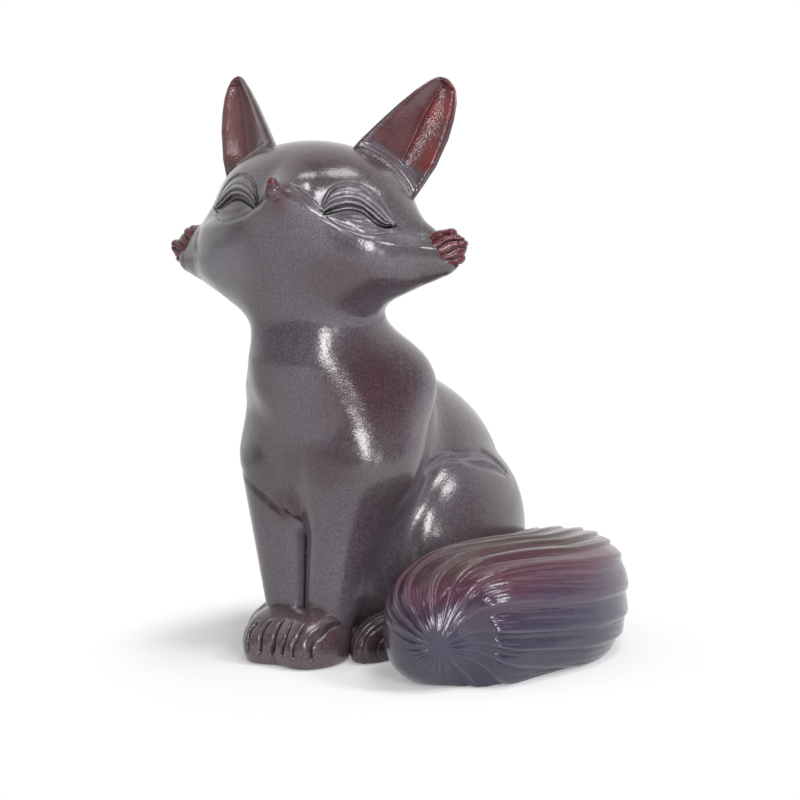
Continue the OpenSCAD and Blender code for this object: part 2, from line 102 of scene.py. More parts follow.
def add_camera():
    turn = math.radians(VIEW_ACROSS)
    back = way_to(VIEW_ACROSS, VIEW_ABOVE)
    right = np.array([math.cos(turn), math.sin(turn), 0])
    data = bpy.data.cameras.new("view")
    data.lens = data.sensor_width*FOCAL_SHARE
    data.shift_y = -SHIFT_DOWN
    data.clip_start, data.clip_end = NEAREST, FARTHEST
    camera = new_object("view", data)
    stand(camera, right, np.cross(back, right), back, (AIM + back*VIEW_AWAY)*MM)
    bpy.context.scene.camera = camera
    return camera


camera = add_camera()
print("camera at", [round(v, 3) for v in camera.matrix_world.translation])

# %% [markdown]
# ## Clay as a distance field
# A cast fox has no seams between its neck and its chest. Forms that run into one another like that
# are easy to say as distances: for any point in space, how far is it to the surface? Two such
# distances join with a soft fillet, or cut each other, with one line of arithmetic. The surface is
# where the distance is zero.

# %% Write the distances that the clay is made of
F = np.float32


def join(a, b, k):
    """Two forms run into one another with a fillet about k wide."""
    h = np.maximum(k - np.abs(a - b), 0)
    return np.minimum(a, b) - h*h/(4*k)


def carve(a, b, k):
    """Form a without form b, with an edge rounded by k."""
    return -join(-a, b, k)


def trim(a, b, k):
    """What forms a and b share, with an edge rounded by k."""
    return -join(-a, -b, k)


def egg(p, middle, radii):
    """About how far a point lies outside an egg. It is exact on the surface."""
    radii = np.array(radii, F)
    q = (p - np.array(middle, F))/radii
    m = np.maximum(np.sqrt((q*q).sum(-1)), 0.05)
    g = q/radii
    return m*(m - 1)/np.maximum(np.sqrt((g*g).sum(-1)), 0.003)


def limb(p, a, radius_a, b, radius_b):
    """A round limb from a to b, with a radius at each end."""
    a, b = np.array(a, F), np.array(b, F)
    d = b - a
    t = np.clip(((p - a) @ d)/(d @ d), 0, 1)
    q = p - a - t[:, None]*d
    return np.sqrt((q*q).sum(-1)) - radius_a - (radius_b - radius_a)*t


def rope(p, points, radius):
    """A round rope through points; radius is one number or one for each point."""
    radii = np.broadcast_to(np.asarray(radius, F), (len(points),))
    nearest = np.full(len(p), 99, F)
    for i in range(len(points) - 1):
        nearest = np.minimum(nearest, limb(p, points[i], radii[i], points[i + 1], radii[i + 1]))
    return nearest


def pressed(d, p, points, radius, k):
    """The form d with a rope pressed into it, worked out only close to the rope."""
    reach = float(np.max(radius)) + 1
    close = ((p > points.min(0) - reach) & (p < points.max(0) + reach)).all(-1)
    if close.any():
        d[close] = carve(d[close], rope(p[close], points, radius), k)
    return d


def step(x, a, b):
    """0 below a, 1 above b, and smooth between them."""
    t = np.clip((x - a)/(b - a), 0, 1)
    return t*t*(3 - 2*t)


def mirrored(p):
    return np.stack([np.abs(p[:, 0]), p[:, 1], p[:, 2]], -1)


print("egg 1 mm outside:", float(egg(np.array([[6, 0, 0]], F), (0, 0, 0), (5, 5, 5))[0]))

# %% [markdown]
# ## From distances to a mesh
# OpenVDB, which comes with Blender, turns a grid of distances into quads. Its corners are a little
# off, so each one is moved onto the exact surface, and the exact slope of the field there becomes
# the normal. That is why a lid only a few tenths of a millimetre high still shines cleanly.
# The bend of the field is kept too, as two attributes: where the glaze runs thin, on edges, and
# where it gathers, in hollows. The same bend says where shade is painted into narrow creases and
# where highlights are painted onto the ridges of the face.

# %% Turn a distance field into a finished skin
SLAB = 400000
BLOCK = 5
EDGE_LIMIT, FORM_LIMIT = 4, 2


def slope(field, p, reach=0.04):
    g = np.empty_like(p)
    for k in range(3):
        e = np.zeros(3, F)
        e[k] = reach
        g[:, k] = field(p + e) - field(p - e)
    return g/(2*reach)


def bend(field, p, reach):
    total = -6*field(p)
    for k in range(3):
        e = np.zeros(3, F)
        e[k] = reach
        total += field(p + e) + field(p - e)
    return total/(reach*reach)


def sample_grid(field, low, counts, cell):
    """Distances on a grid. A block that lies clear of the surface gets one value for all of it."""
    blocks = [n//BLOCK for n in counts]
    values = np.empty(counts, F)
    index = np.stack(np.meshgrid(*[np.arange(n) for n in blocks], indexing="ij"), -1).reshape(-1, 3)
    inner = np.stack(np.meshgrid(*[np.arange(BLOCK)]*3, indexing="ij"), -1).reshape(-1, 3)
    view = values.reshape(blocks[0], BLOCK, blocks[1], BLOCK, blocks[2], BLOCK)
    for start in range(0, len(index), SLAB):
        part = index[start:start + SLAB]
        middle = field((low + cell*(part*BLOCK + (BLOCK - 1)/2)).astype(F))
        i, j, k = part.T
        view[i, :, j, :, k, :] = middle[:, None, None, None]
        close = part[np.abs(middle) < cell*BLOCK*1.5]
        at_once = SLAB//len(inner)
        for first in range(0, len(close), at_once):
            some = close[first:first + at_once]
            p = low + cell*(some[:, None]*BLOCK + inner[None]).astype(F)
            i, j, k = some.T
            view[i, :, j, :, k, :] = field(p.reshape(-1, 3).astype(F)).reshape(-1, BLOCK, BLOCK, BLOCK)
    return values


def skin_mesh(name, points, quads, triangles, normals, attributes):
    mesh = bpy.data.meshes.new(name)
    mesh.vertices.add(len(points))
    mesh.vertices.foreach_set("co", (points*MM).astype(F).ravel())
    corners = np.concatenate([quads.ravel(), triangles.ravel()]).astype(np.int32)
    counts = np.concatenate([np.full(len(quads), 4), np.full(len(triangles), 3)]).astype(np.int32)
    mesh.loops.add(len(corners))
    mesh.loops.foreach_set("vertex_index", corners)
    mesh.polygons.add(len(counts))
    mesh.polygons.foreach_set("loop_start", (np.cumsum(counts) - counts).astype(np.int32))
    mesh.update(calc_edges=True)
    mesh.validate()
    mesh.polygons.foreach_set("use_smooth", np.ones(len(mesh.polygons), bool))
    mesh.normals_split_custom_set_from_vertices(normals.astype(F).tolist())
    for key, values in attributes.items():
        mesh.attributes.new(key, "FLOAT", "POINT").data.foreach_set("value", values.astype(F))
    return mesh


def fired(name, field, low, high, cell, fine=0.35, broad=1.1):
    """A closed skin of the field inside the box from low to high, in quads about cell wide."""
    low = np.array(low, F) - 2*cell
    counts = [BLOCK*int(math.ceil((h + 2*cell - l)/cell/BLOCK)) for l, h in zip(low, high)]
    grid = openvdb.FloatGrid()
    grid.copyFromArray(sample_grid(field, low, counts, cell))
    points, triangles, quads = grid.convertToPolygons(isovalue=0.0, adaptivity=0.0)
    points = (points*cell + low).astype(F)
    g = slope(field, points)
    size = np.maximum((g*g).sum(-1), 0.05)
    for _ in range(3):
        points -= np.clip(field(points)/size, -0.5*cell, 0.5*cell)[:, None]*g
    normals = slope(field, points)
    normals /= np.maximum(np.linalg.norm(normals, axis=1, keepdims=True), 1e-6)
    a, b, c = points[quads[:, 0]], points[quads[:, 1]], points[quads[:, 2]]
    if (np.cross(b - a, c - a)*normals[quads[:, 0]]).sum() < 0:
        quads, triangles = quads[:, ::-1], triangles[:, ::-1]
    small, large = bend(field, points, fine), bend(field, points, broad)
    mesh = skin_mesh(name, points, quads, triangles, normals,
                     {"edge": np.clip(small, -EDGE_LIMIT, EDGE_LIMIT),
                      "form": np.clip(large, -FORM_LIMIT, FORM_LIMIT)})
    piece = new_object(name, mesh)
    print(f"{name}: {len(points)} corners, {sum(len(f.vertices) - 2 for f in mesh.polygons)} triangles")
    return piece


def fired_for(node, field, room, cell):
    """The skin that takes a node's place, fired inside the node's box with some room around it."""
    low, high = sizes[node]
    piece = fired(node + "_skin", field, low - room, high + room, cell)
    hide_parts(node)
    return piece


# %% [markdown]
# ## The head
# The head is turned a little further to the fox's left than its body. All its forms are measured
# along the head itself: f forward, l to the left and u up, from the middle of the skull. Skull and
# cheeks are eggs, and the muzzle and the roots of the ruffs are cones, with wide fillets between.

# %% Find the head's middle and directions
head_low, head_high = sizes["head_shell"]
body_high = sizes["body_shell"][1]
SEAM = head_low[2]
MUZZLE_REACH = 21.5
CROWN_RISE = 12.96
HEAD = np.array([0, head_low[1] + MUZZLE_REACH, head_high[2] - CROWN_RISE], F)
HEAD_TURN = math.radians(12)
AHEAD = np.array([math.sin(HEAD_TURN), -math.cos(HEAD_TURN), 0], F)
LEFT = np.array([math.cos(HEAD_TURN), math.sin(HEAD_TURN), 0], F)
UP = np.array([0, 0, 1], F)
SKULL_LEAN = 12
SKULL = ((0, 0, 0), (16, 19, 12.8))
CHEEK = ((3, 10.5, -7.5), (11.5, 11.5, 8.5))
MUZZLE = ((6, 0, -3), 9.5, (20.6, 0, 4.6), 1.3)
RUFF_ROOT = ((1, 14, -7.4), 7.5, (-0.5, 21.5, -7.4), 4)
UNDER_RUFF = ((0.5, 18, -9.6), 4, (0, 25.8, -9.6), 1.7)


def along_head(p):
    q = p - HEAD
    return np.stack([q @ AHEAD, q @ LEFT, q[:, 2]], -1).astype(F)


def leaned(q, degrees):
    c, s = math.cos(math.radians(degrees)), math.sin(math.radians(degrees))
    return np.stack([q[:, 0]*c + q[:, 2]*s, q[:, 1], q[:, 2]*c - q[:, 0]*s], -1)


def head_form(p):
    q = along_head(p)
    q[:, 1] = np.abs(q[:, 1])
    head = join(egg(leaned(q, SKULL_LEAN), *SKULL), egg(q, *CHEEK), 6)
    head = join(head, limb(q, *MUZZLE), 8)
    head = join(head, limb(q, *RUFF_ROOT), 5)
    return join(head, limb(q, *UNDER_RUFF), 4)


print("head middle at", HEAD.round(1), "mm")

# %% [markdown]
# ## Neck, chest, hips and legs
# The neck is a short cone. Chest, hips and shoulders are eggs and limbs that run into one another.
# A soft ridge runs from the neck to the left shoulder and carries the long highlight. The forelegs
# come out under a pointed tongue of the chest, which ends in a lip over the right one. Each haunch
# is an egg pressed against the hip, with a crease all round its front. The numbers are middles
# with radii, or two ends of a limb with a radius at each, in millimetres.

# %% Shape the body
NECK_Y = HEAD[1] - 0.5
CHEST_Y = NECK_Y + 7.5
HIP_Y = body_high[1] - 26
LEG_Y = -16.5
SHOULDER_X = body_high[0] - 8.3
NECK = ((0, NECK_Y - 0.3, 76), 9.8, (0, NECK_Y + 1.5, 58), 11.6)
CHEST = ((0, CHEST_Y, 43), (15.5, 15.8, 20))
HIPS = ((0, HIP_Y, 20), (18, 26, 32))
LOINS = ((0, HIP_Y + 7, 29.1), (18, 19, 18))
SHOULDER = ((SHOULDER_X - 0.6, CHEST_Y + 3, 51.5), 8, (SHOULDER_X - 1.9, CHEST_Y - 5, 38), 7)
LEG = ((7.8, LEG_Y + 2.2, 36), 8, (4.3, LEG_Y, 8), 4.7)
HAUNCH = np.array([sizes["haunch_left"][1][0] - 10.37, HIP_Y + 4.5, 19.25], F)
HAUNCH_RADII = (10.4, 20, 19.25)
CHEST_RIDGE = ((1.6, -17.4, 56.6), 8.2, (9.7, -12.4, 38.8), 9.2)
CHEST_TONGUE = ((0, -14.5, 41), 7, (0, -17.8, 30), 2.8)
NECK_FROM = 36
ELBOW_SLIM = 0.8
LIP_RISE = 0.75
LEG_SINK = 0.45
RIGHT_FULLNESS = 0.85


def neck_form(p):
    return limb(p, *NECK)


def torso_form(p):
    """Chest, hips, loins and shoulders. The fox's right shoulder is a little slimmer at the elbow."""
    q = mirrored(p)
    slim = ELBOW_SLIM*step(-p[:, 0], 0, 5)*step(-p[:, 2], -52, -38)
    hips = join(egg(q, *HIPS), egg(q, *LOINS), 8)
    return join(join(egg(q, *CHEST), hips, 8), limb(q, *SHOULDER) + slim, 8)


def leg_form(p):
    return limb(mirrored(p), *LEG)


def haunch_form(p):
    return egg(mirrored(p), HAUNCH, HAUNCH_RADII)


def tongue_edge(p):
    """Height above the line where the chest ends over the right foreleg."""
    return p[:, 2] - 26.4 - 0.62*np.sqrt(p[:, 0]**2 + 0.6)


def clay(p):
    """Head, neck, trunk, forelegs and haunches as one form. The chest is fuller on its right."""
    trunk = torso_form(p)
    high = p[:, 2] >= NECK_FROM
    if high.any():
        upper = join(head_form(p[high]), neck_form(p[high]), 9)
        trunk[high] = join(trunk[high], upper, 8)
    trunk = join(trunk, limb(p, *CHEST_RIDGE), 6)
    trunk = join(trunk, limb(p, *CHEST_TONGUE), 4)
    creased = step(-p[:, 0], -5, 1)
    front = step(-p[:, 1], 8, 13)*step(-p[:, 0], -0.6, 0.8)
    above = tongue_edge(p)
    lip = LIP_RISE*step(above, -0.5, 0.5)*step(-above, -9, -0.5)*front
    legs = leg_form(p) + LEG_SINK*step(above, -1.5, 1)*front
    body = join(trunk - lip, legs, 5.5 - 4.1*creased)
    body = join(body, haunch_form(p), 1.2)
    return body - RIGHT_FULLNESS*step(-p[:, 0], 1, 8)*step(p[:, 2], 46, 52)*step(-p[:, 2], -78, -72)


print("chest middle at y", round(float(CHEST_Y), 1), "and hips at y", round(float(HIP_Y), 1))

# %% [markdown]
# ## The face
# The smiling face is carved into the head. A sharp line runs from the nose over the cheek to the
# ruff: below it the muzzle stands proud, above it lies a shallow mask with the closed eye. The eye
# is a low swell that ends in a curved slit, with thin folds between slit and brow. A potter draws
# such lines with a tool, and here slit, brow and wrinkles are ropes pressed into the clay. Mask and
# folds are too shallow for that, so they are small changes of the distance itself.

# %% Draw the lines of the face on the head
FACE_TURN = math.radians(4)
FACE_ROLL = 0.063
BROW = [(6.3, 2.0), (6.6, 3.2), (7.3, 4.8), (8.3, 5.7), (10.1, 6.25), (12.3, 5.95), (14.2, 4.7),
        (15.7, 3.0), (16.8, 1.2), (18.0, -0.4)]
SLIT = [(6.7, 0.7), (7.6, 1.1), (8.8, 1.55), (10.0, 1.9), (11.2, 2.0), (12.9, 1.55), (14.4, 0.3),
        (15.5, -0.6), (16.6, -1.15), (18.1, -0.95)]
UNDER = [(7.3, 0.1), (8.4, -0.5), (9.5, -1.1), (11.2, -1.7), (13.3, -2.3), (15.6, -2.4), (17.3, -2.0)]
BRIDGE_LINE = [(0.4, 6.2), (2.2, 5.1), (3.7, 3.9), (5.2, 2.2), (6.7, 1.0)]
MASK_DEPTH = 0.95
LID_FOLDS = 4
FOLD_HEIGHT = 0.42
LID_SWELL = 0.35
UNDER_SWELL = 0.6


def cheek_line(l):
    """Height of the line that falls from the nose over each cheek."""
    return 11.1*np.exp(-np.abs(l)/9.2) - 5.5


def face_axes(p):
    """Lengths along the face, which is turned and rolled a little against the head."""
    q = along_head(p)
    c, s = math.cos(FACE_TURN), math.sin(FACE_TURN)
    f, l = q[:, 0]*c + q[:, 1]*s, q[:, 1]*c - q[:, 0]*s
    return f, l, q[:, 2] + FACE_ROLL*l


def from_face(f, l, u):
    c, s = math.cos(FACE_TURN), math.sin(FACE_TURN)
    u = u - FACE_ROLL*l
    return HEAD + (f*c - l*s)*AHEAD + (f*s + l*c)*LEFT + u*UP


def lid_share(across, u):
    """0 on the slit and 1 on the brow line, for a point between the two."""
    slit, brow = (np.interp(across, *np.array(line).T).astype(F) for line in (SLIT, BROW))
    share = (u - slit)/np.maximum(brow - slit, 0.3)
    return np.where((across > BROW[0][0]) & (across < SLIT[-1][0]), share, -1)


def near_face(p, d):
    f, _, u = face_axes(p)
    return (np.abs(d) < 2.5) & (f > 0) & (u > -9) & (u < 11)


def masked_head(p):
    """The head with its shallow mask and the folds of the lids, before any line is pressed."""
    d = clay(p)
    near = near_face(p, d)
    if not near.any():
        return d
    f, l, u = face_axes(p[near])
    across = np.abs(l)
    above = u - cheek_line(l)
    front = step(f, 1, 7)
    mask = step(above, -0.5, 1.9)*(1 - step(above, 1, 9))*step(across, 0.8, 5)
    share = lid_share(across, u)
    inside = step(share, 0.0, 0.1)*step(-share, -1.05, -0.9)*front
    folds = np.abs(np.sin(np.pi*(LID_FOLDS*share + 0.5)))
    swell = np.sin(np.pi*np.clip(share, 0, 1))
    under = np.exp(-((across - 12.3)/3.6)**2 - ((u + 0.3 - 0.1*(12.3 - across))/1.0)**2)
    lid = FOLD_HEIGHT*folds**1.5*step(-share, -0.95, -0.3) + LID_SWELL*swell
    d[near] = d[near] + (MASK_DEPTH*front*mask - inside*lid) - UNDER_SWELL*under*front
    return d


def on_face(line, side, rise=0.0):
    """A line given as (l, u) laid on the front of the head, on one side of it."""
    line = np.array(line, float)
    t = np.linspace(0, 1, 3*len(line))
    at = np.linspace(0, 1, len(line))
    l, u = np.interp(t, at, line[:, 0]), np.interp(t, at, line[:, 1])
    f = np.full(len(t), 26.0)
    for _ in range(60):
        p = np.array([from_face(a, side*b, c) for a, b, c in zip(f, l, u)], F)
        f -= np.clip(masked_head(p) - rise, -2, 2)*0.7
    return np.array([from_face(a, side*b, c) for a, b, c in zip(f, l, u)], F)


def taper(count, thick, ends=0.35):
    t = np.linspace(0, 1, count)
    return thick*(ends + (1 - ends)*np.sin(np.pi*t)**0.6)


face_lines = {}
for side in (1, -1):
    face_lines[side] = {"slit": on_face(SLIT, side, -0.1), "under": on_face(UNDER, side),
                        "brow": on_face(BROW, side), "bridge": on_face(BRIDGE_LINE, side)}
slit_length = np.linalg.norm(np.diff(face_lines[1]["slit"], axis=0), axis=1).sum()
print("slit of one eye:", round(float(slit_length), 1), "mm long")

# %% [markdown]
# Now the lines are pressed in. Each has the thickness of its tool, and runs out thinner at both
# ends, as a drawn line does. The skin is cut off a little below the seam with the body.

# %% Carve the face
SEAM_LAP = 0.3
TOOL_MARKS = {"brow": {"thick": 0.42, "ends": 0.35, "soft": 0.35},
              "under": {"thick": 0.3, "ends": 0.35, "soft": 0.5},
              "bridge": {"thick": 0.2, "ends": 0.35, "soft": 0.4},
              "slit": {"thick": 0.55, "ends": 0.45, "soft": 0.25}}


def head_clay(p):
    d = masked_head(p)
    near = near_face(p, d)
    if not near.any():
        return d
    across = face_axes(p[near])[1]
    q, base = p[near], d[near]
    for side in (1, -1):
        mine = across*side > 1
        if not mine.any():
            continue
        here, form = q[mine], base[mine]
        for name, mark in TOOL_MARKS.items():
            line = face_lines[side][name]
            form = pressed(form, here, line, taper(len(line), mark["thick"], mark["ends"]), mark["soft"])
        base[mine] = form
    d[near] = base
    return d


def head_skin(p):
    return np.maximum(head_clay(p), SEAM - SEAM_LAP - p[:, 2])


head = fired("head_glaze_skin", head_skin, (head_low[0] - 1, head_low[1] - 1, SEAM - 1), head_high + 1,
             0.275)

# %% [markdown]
# ## The skin of the body
# Where the loins settle on the haunch the clay is creased. The creases are broad, soft ropes, one
# along the loins and a short one below it, on both sides. Under the head the skin draws in by a
# hair, so that the two skins never lie in one another.

# %% Make the skin of the body
BODY_LOW, BODY_HIGH = (-25, -28, 0), (25, 36, SEAM + 2)
LOIN_FOLD = np.array([(16, -0.6, 34.9), (16, 1.6, 35.6), (16.3, 5.2, 36.5), (16.9, 7.6, 36.6),
                      (17.8, 9.4, 36.3), (18.5, 12.5, 36.3), (18.7, 16.8, 36.2), (19.5, 19.3, 34.7),
                      (20.6, 22.3, 32)], F)
HAUNCH_FOLD = np.array([(18.5, 9.5, 35.5), (20, 13, 34.4), (20.9, 17.4, 33.1), (21.1, 21, 31.6)], F)


def body_skin(p):
    d = clay(p) + 0.05*np.maximum(p[:, 2] - SEAM + 0.4, 0)
    q = mirrored(p)
    d = pressed(d, q, LOIN_FOLD, taper(len(LOIN_FOLD), 0.6), 1.2)
    d = pressed(d, q, HAUNCH_FOLD, taper(len(HAUNCH_FOLD), 0.4), 1.0)
    return np.maximum(np.maximum(d, p[:, 2] - SEAM - 2), -p[:, 2])


body = fired("body_glaze_skin", body_skin, BODY_LOW, BODY_HIGH, 0.42, broad=1.6)
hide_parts("head_shell")
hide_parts("body_shell", "foreleg_left", "foreleg_right", "haunch_left", "haunch_right")
for piece, slot in ((head, "head_glaze"), (body, "body_glaze")):
    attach(piece, ROOT)

# %% [markdown]
# ## Ears
# An ear is a leaf of clay: its back is round, and its front falls from two rounded rims into a
# valley with a sharp floor. The valley stops just above the head, where a narrow ledge is left.

# %% Shape the ears
EAR_ROOT, EAR_TIP = (-3, 13, 8.5), (-13, 21, 25.3)
EAR_SPLAY = 0.3
INNER_EDGE = [(-6, 7.6), (0, 6.7), (5, 5.6), (10.7, 4.2), (15, 2.9), (18, 1.7), (19.6, 0.9), (20.8, 0.2)]
OUTER_EDGE = [(-6, -7.9), (0, -8.1), (4, -8.2), (10, -7.4), (14, -6.3), (17, -5.1), (19.2, -3.7),
              (20.8, -2.0)]
VALLEY_LINE = [(-6, -3.6), (2, -2.2), (13, -0.8), (21, -0.8)]
EAR_DEPTH, EAR_HALF_WIDTH = 5.4, 7.3
EAR_LENGTH, VALLEY_LENGTH = 20.9, 19.3
LEDGE = 1.3


def from_head(f, l, u):
    return HEAD + f*AHEAD + l*LEFT + u*UP


def ear_front(side):
    return AHEAD + EAR_SPLAY*side*LEFT


def ear_axes(p, side):
    """Lengths across the ear, along it and out of its front, from its root."""
    root = from_head(EAR_ROOT[0], side*EAR_ROOT[1], EAR_ROOT[2])
    tip = from_head(EAR_TIP[0], side*EAR_TIP[1], EAR_TIP[2])
    along = (tip - root)/np.linalg.norm(tip - root)
    front = ear_front(side)
    front = front - (front @ along)*along
    front /= np.linalg.norm(front)
    across = side*np.cross(front, along)
    q = p - root
    return q @ across, q @ along, q @ front


def along_line(a, line):
    return np.interp(a, *np.array(line).T).astype(F)


def ear_outline(x, a, side):
    """The two edges and the valley floor at height a, and how far x lies from floor to edge."""
    inner, outer, floor_x = (along_line(a, line) for line in (INNER_EDGE, OUTER_EDGE, VALLEY_LINE))
    outer = outer + 0.09*(1 - side)*np.clip(-outer, 0, 8)
    share = np.where(x > floor_x, (x - floor_x)/np.maximum(inner - floor_x, 0.2),
                     (floor_x - x)/np.maximum(floor_x - outer, 0.2))
    return inner, outer, floor_x, share


def ear_clay(p, side):
    x, a, n = ear_axes(p, side)
    inner, outer, _, share = ear_outline(x, a, side)
    half, middle = np.maximum((inner - outer)/2, 0.7), (inner + outer)/2
    deep = EAR_DEPTH*(half/EAR_HALF_WIDTH)**0.75
    rim = deep*0.5 + 0.2
    u, v = (x - middle)/half, (n - rim)/deep
    m = np.maximum(np.sqrt(u*u + v*v), 0.05)
    back = m*(m - 1)/np.maximum(np.hypot(u/half, v/deep), 0.003)
    whole = trim(trim(back, (n - rim - 0.35)*0.9, 1.1), a - EAR_LENGTH, 2.2)
    valley = rim + 0.5 - (0.55*deep + 0.5)*(1 - np.clip(share, 0, 1.2)**1.25)
    hollow = trim(trim((valley - n)*0.8, LEDGE - clay(p), 0.7), a - VALLEY_LENGTH, 0.8)
    return carve(whole, hollow, 0.75)


def ear_marks(p, normals, side):
    """For the glaze: what lies in the valley, near its floor and on its outer slope, and what is painted
    lighter.
    """
    x, a, _ = ear_axes(p, side)
    _, _, floor_x, share = ear_outline(x, a, side)
    inside = step(normals @ ear_front(side), 0.05, 0.45)*step(-share, -0.97, -0.8)*step(a, 1.0, 3.5)
    floor = step(-np.abs(x - floor_x), -1.4, -0.1)*inside
    slope = step(floor_x - x, -0.3, 0.5)
    # On the fox's right ear the whole outer slope is painted pale, as a sheen of light on its flat face.
    if side < 0:
        return {"paleness_and_sheen": slope, "inside": inside, "floor": floor, "outer": 0.5 - 0.3*slope}
    return {"paleness_and_sheen": 0.25*(1 - slope)*step(x, 2, 5), "inside": inside, "floor": floor, "outer": slope}


def ear_skin(side):
    return lambda p: np.maximum(ear_clay(p, side), -0.8 - clay(p))


ears = [fired_for(node, ear_skin(side), 2.5, 0.22) for side, node in ((1, "ear_left"), (-1, "ear_right"))]

# %% [markdown]
# ## Cheek ruffs and nose
# A ruff is three thick locks that leave the cheek and spread. The maker drew hairs over them with
# a comb, from low inside to high outside, so that the grooves curve. The nose is a small button.

# %% Shape the ruffs and the nose
LOCK_TIPS = {1: [(27.0, -4.3), (28.9, -5.9), (28.4, -8.2)],
             -1: [(26.4, -5.2), (29.4, -7.6), (28.4, -9.6)]}
RUFF = ((-0.6, 23.3, -7.9), (3.3, 5.1, 4.5))
LOCK_RADII = np.array([2.6, 2.4, 1.4], F)
FLATTENED = np.array([0.8, 1, 1], F)
HAIR_WIDTH = 1.55
GROOVE_DEPTH = 0.28
FINE_DEPTH = 0.05


def ruff_clay(p, side):
    q = along_head(p)
    q[:, 1] *= side
    d = egg(q, *RUFF)
    for l, u in LOCK_TIPS[side]:
        line = np.array([(-0.6, 19, -8.0), (-0.4, 23.5, (u - 8.0)/2 - 0.2), (-0.9, l - 0.5, u)], F)
        d = join(d, rope(q*FLATTENED, line*FLATTENED, LOCK_RADII), 1.2)
    l, u = q[:, 1], q[:, 2]
    hair = u - 0.3*(l - 24) + 0.04*(l - 27)**2 + 0.25*np.sin(0.9*l + 1.3*u)
    groove = (1 - np.abs(np.sin(np.pi*hair/HAIR_WIDTH)))**2
    fine = (1 - np.abs(np.sin(np.pi*(2.6*hair/HAIR_WIDTH + 0.3))))**2
    return d + (GROOVE_DEPTH*groove + FINE_DEPTH*fine)*step(q[:, 1], 19.5, 23)


def ruff_redness(p, side):
    q = along_head(p)
    return step(side*q[:, 1] + 0.35*q[:, 2], 16.5, 19.5)


def ruff_skin(side):
    return lambda p: np.maximum(ruff_clay(p, side), -1.2 - clay(p))


ruffs = [fired_for(node, ruff_skin(side), 3, 0.16)
         for side, node in ((1, "cheek_ruff_left"), (-1, "cheek_ruff_right"))]
NOSE = ((19.9, -0.1, 4.3), 2.1, (20.9, -0.1, 6.1), 1.0)


def nose_clay(p):
    return limb(along_head(p), *NOSE)


nose = fired_for("nose_tip", nose_clay, 1, 0.14)

# %% [markdown]
# ## Paws
# The front paws stand side by side, and slanting toe grooves run over both. The hind paws look out
# from under the haunches.

# %% Shape the paws
FRONT_PAW, FRONT_RADII = (4.8, -20.9, 3.5), (5.2, 8.8, 6.5)
HIND_PAW, HIND_RADII = (12.0, -9.2, 2.55), (4.6, 10, 5.95)
TOE_WIDTH, TOE_DEPTH = 2.6, 0.85
HIND_HAIR_WIDTH, HIND_HAIR_DEPTH = 1.3, 0.22


def front_paw_clay(p):
    x, y, z = FRONT_PAW
    pair = join(egg(p, (x, y, z), FRONT_RADII), egg(p, (-x, y, z), FRONT_RADII), 8)
    toe = p[:, 0] - 0.08*(p[:, 2] - 4) - 0.06*(p[:, 1] + 24) + 0.2*np.sin(p[:, 2] + 2*p[:, 0])
    groove = 1 - np.abs(np.sin(np.pi*toe/TOE_WIDTH))
    where = step(-p[:, 1], 17, 22)*step(p[:, 2], 1.9, 3.2)*step(-p[:, 2], -9.0, -7.0)
    return trim(pair + TOE_DEPTH*groove**2.6*where, -p[:, 2], 0.6)


def hind_paw_clay(p):
    hair = mirrored(p)[:, 0] - 0.2*p[:, 1]
    groove = (1 - np.abs(np.sin(np.pi*hair/HIND_HAIR_WIDTH)))**2
    return trim(egg(mirrored(p), HIND_PAW, HIND_RADII) + HIND_HAIR_DEPTH*groove, -p[:, 2], 0.6)


def paw_skin(form, side):
    return lambda p: np.maximum(form(p), -side*p[:, 0])


paws = [fired_for(kind + name, paw_skin(form, side), 4, 0.22)
        for kind, form in (("front_paw_", front_paw_clay), ("hind_paw_", hind_paw_clay))
        for name, side in (("left", 1), ("right", -1))]
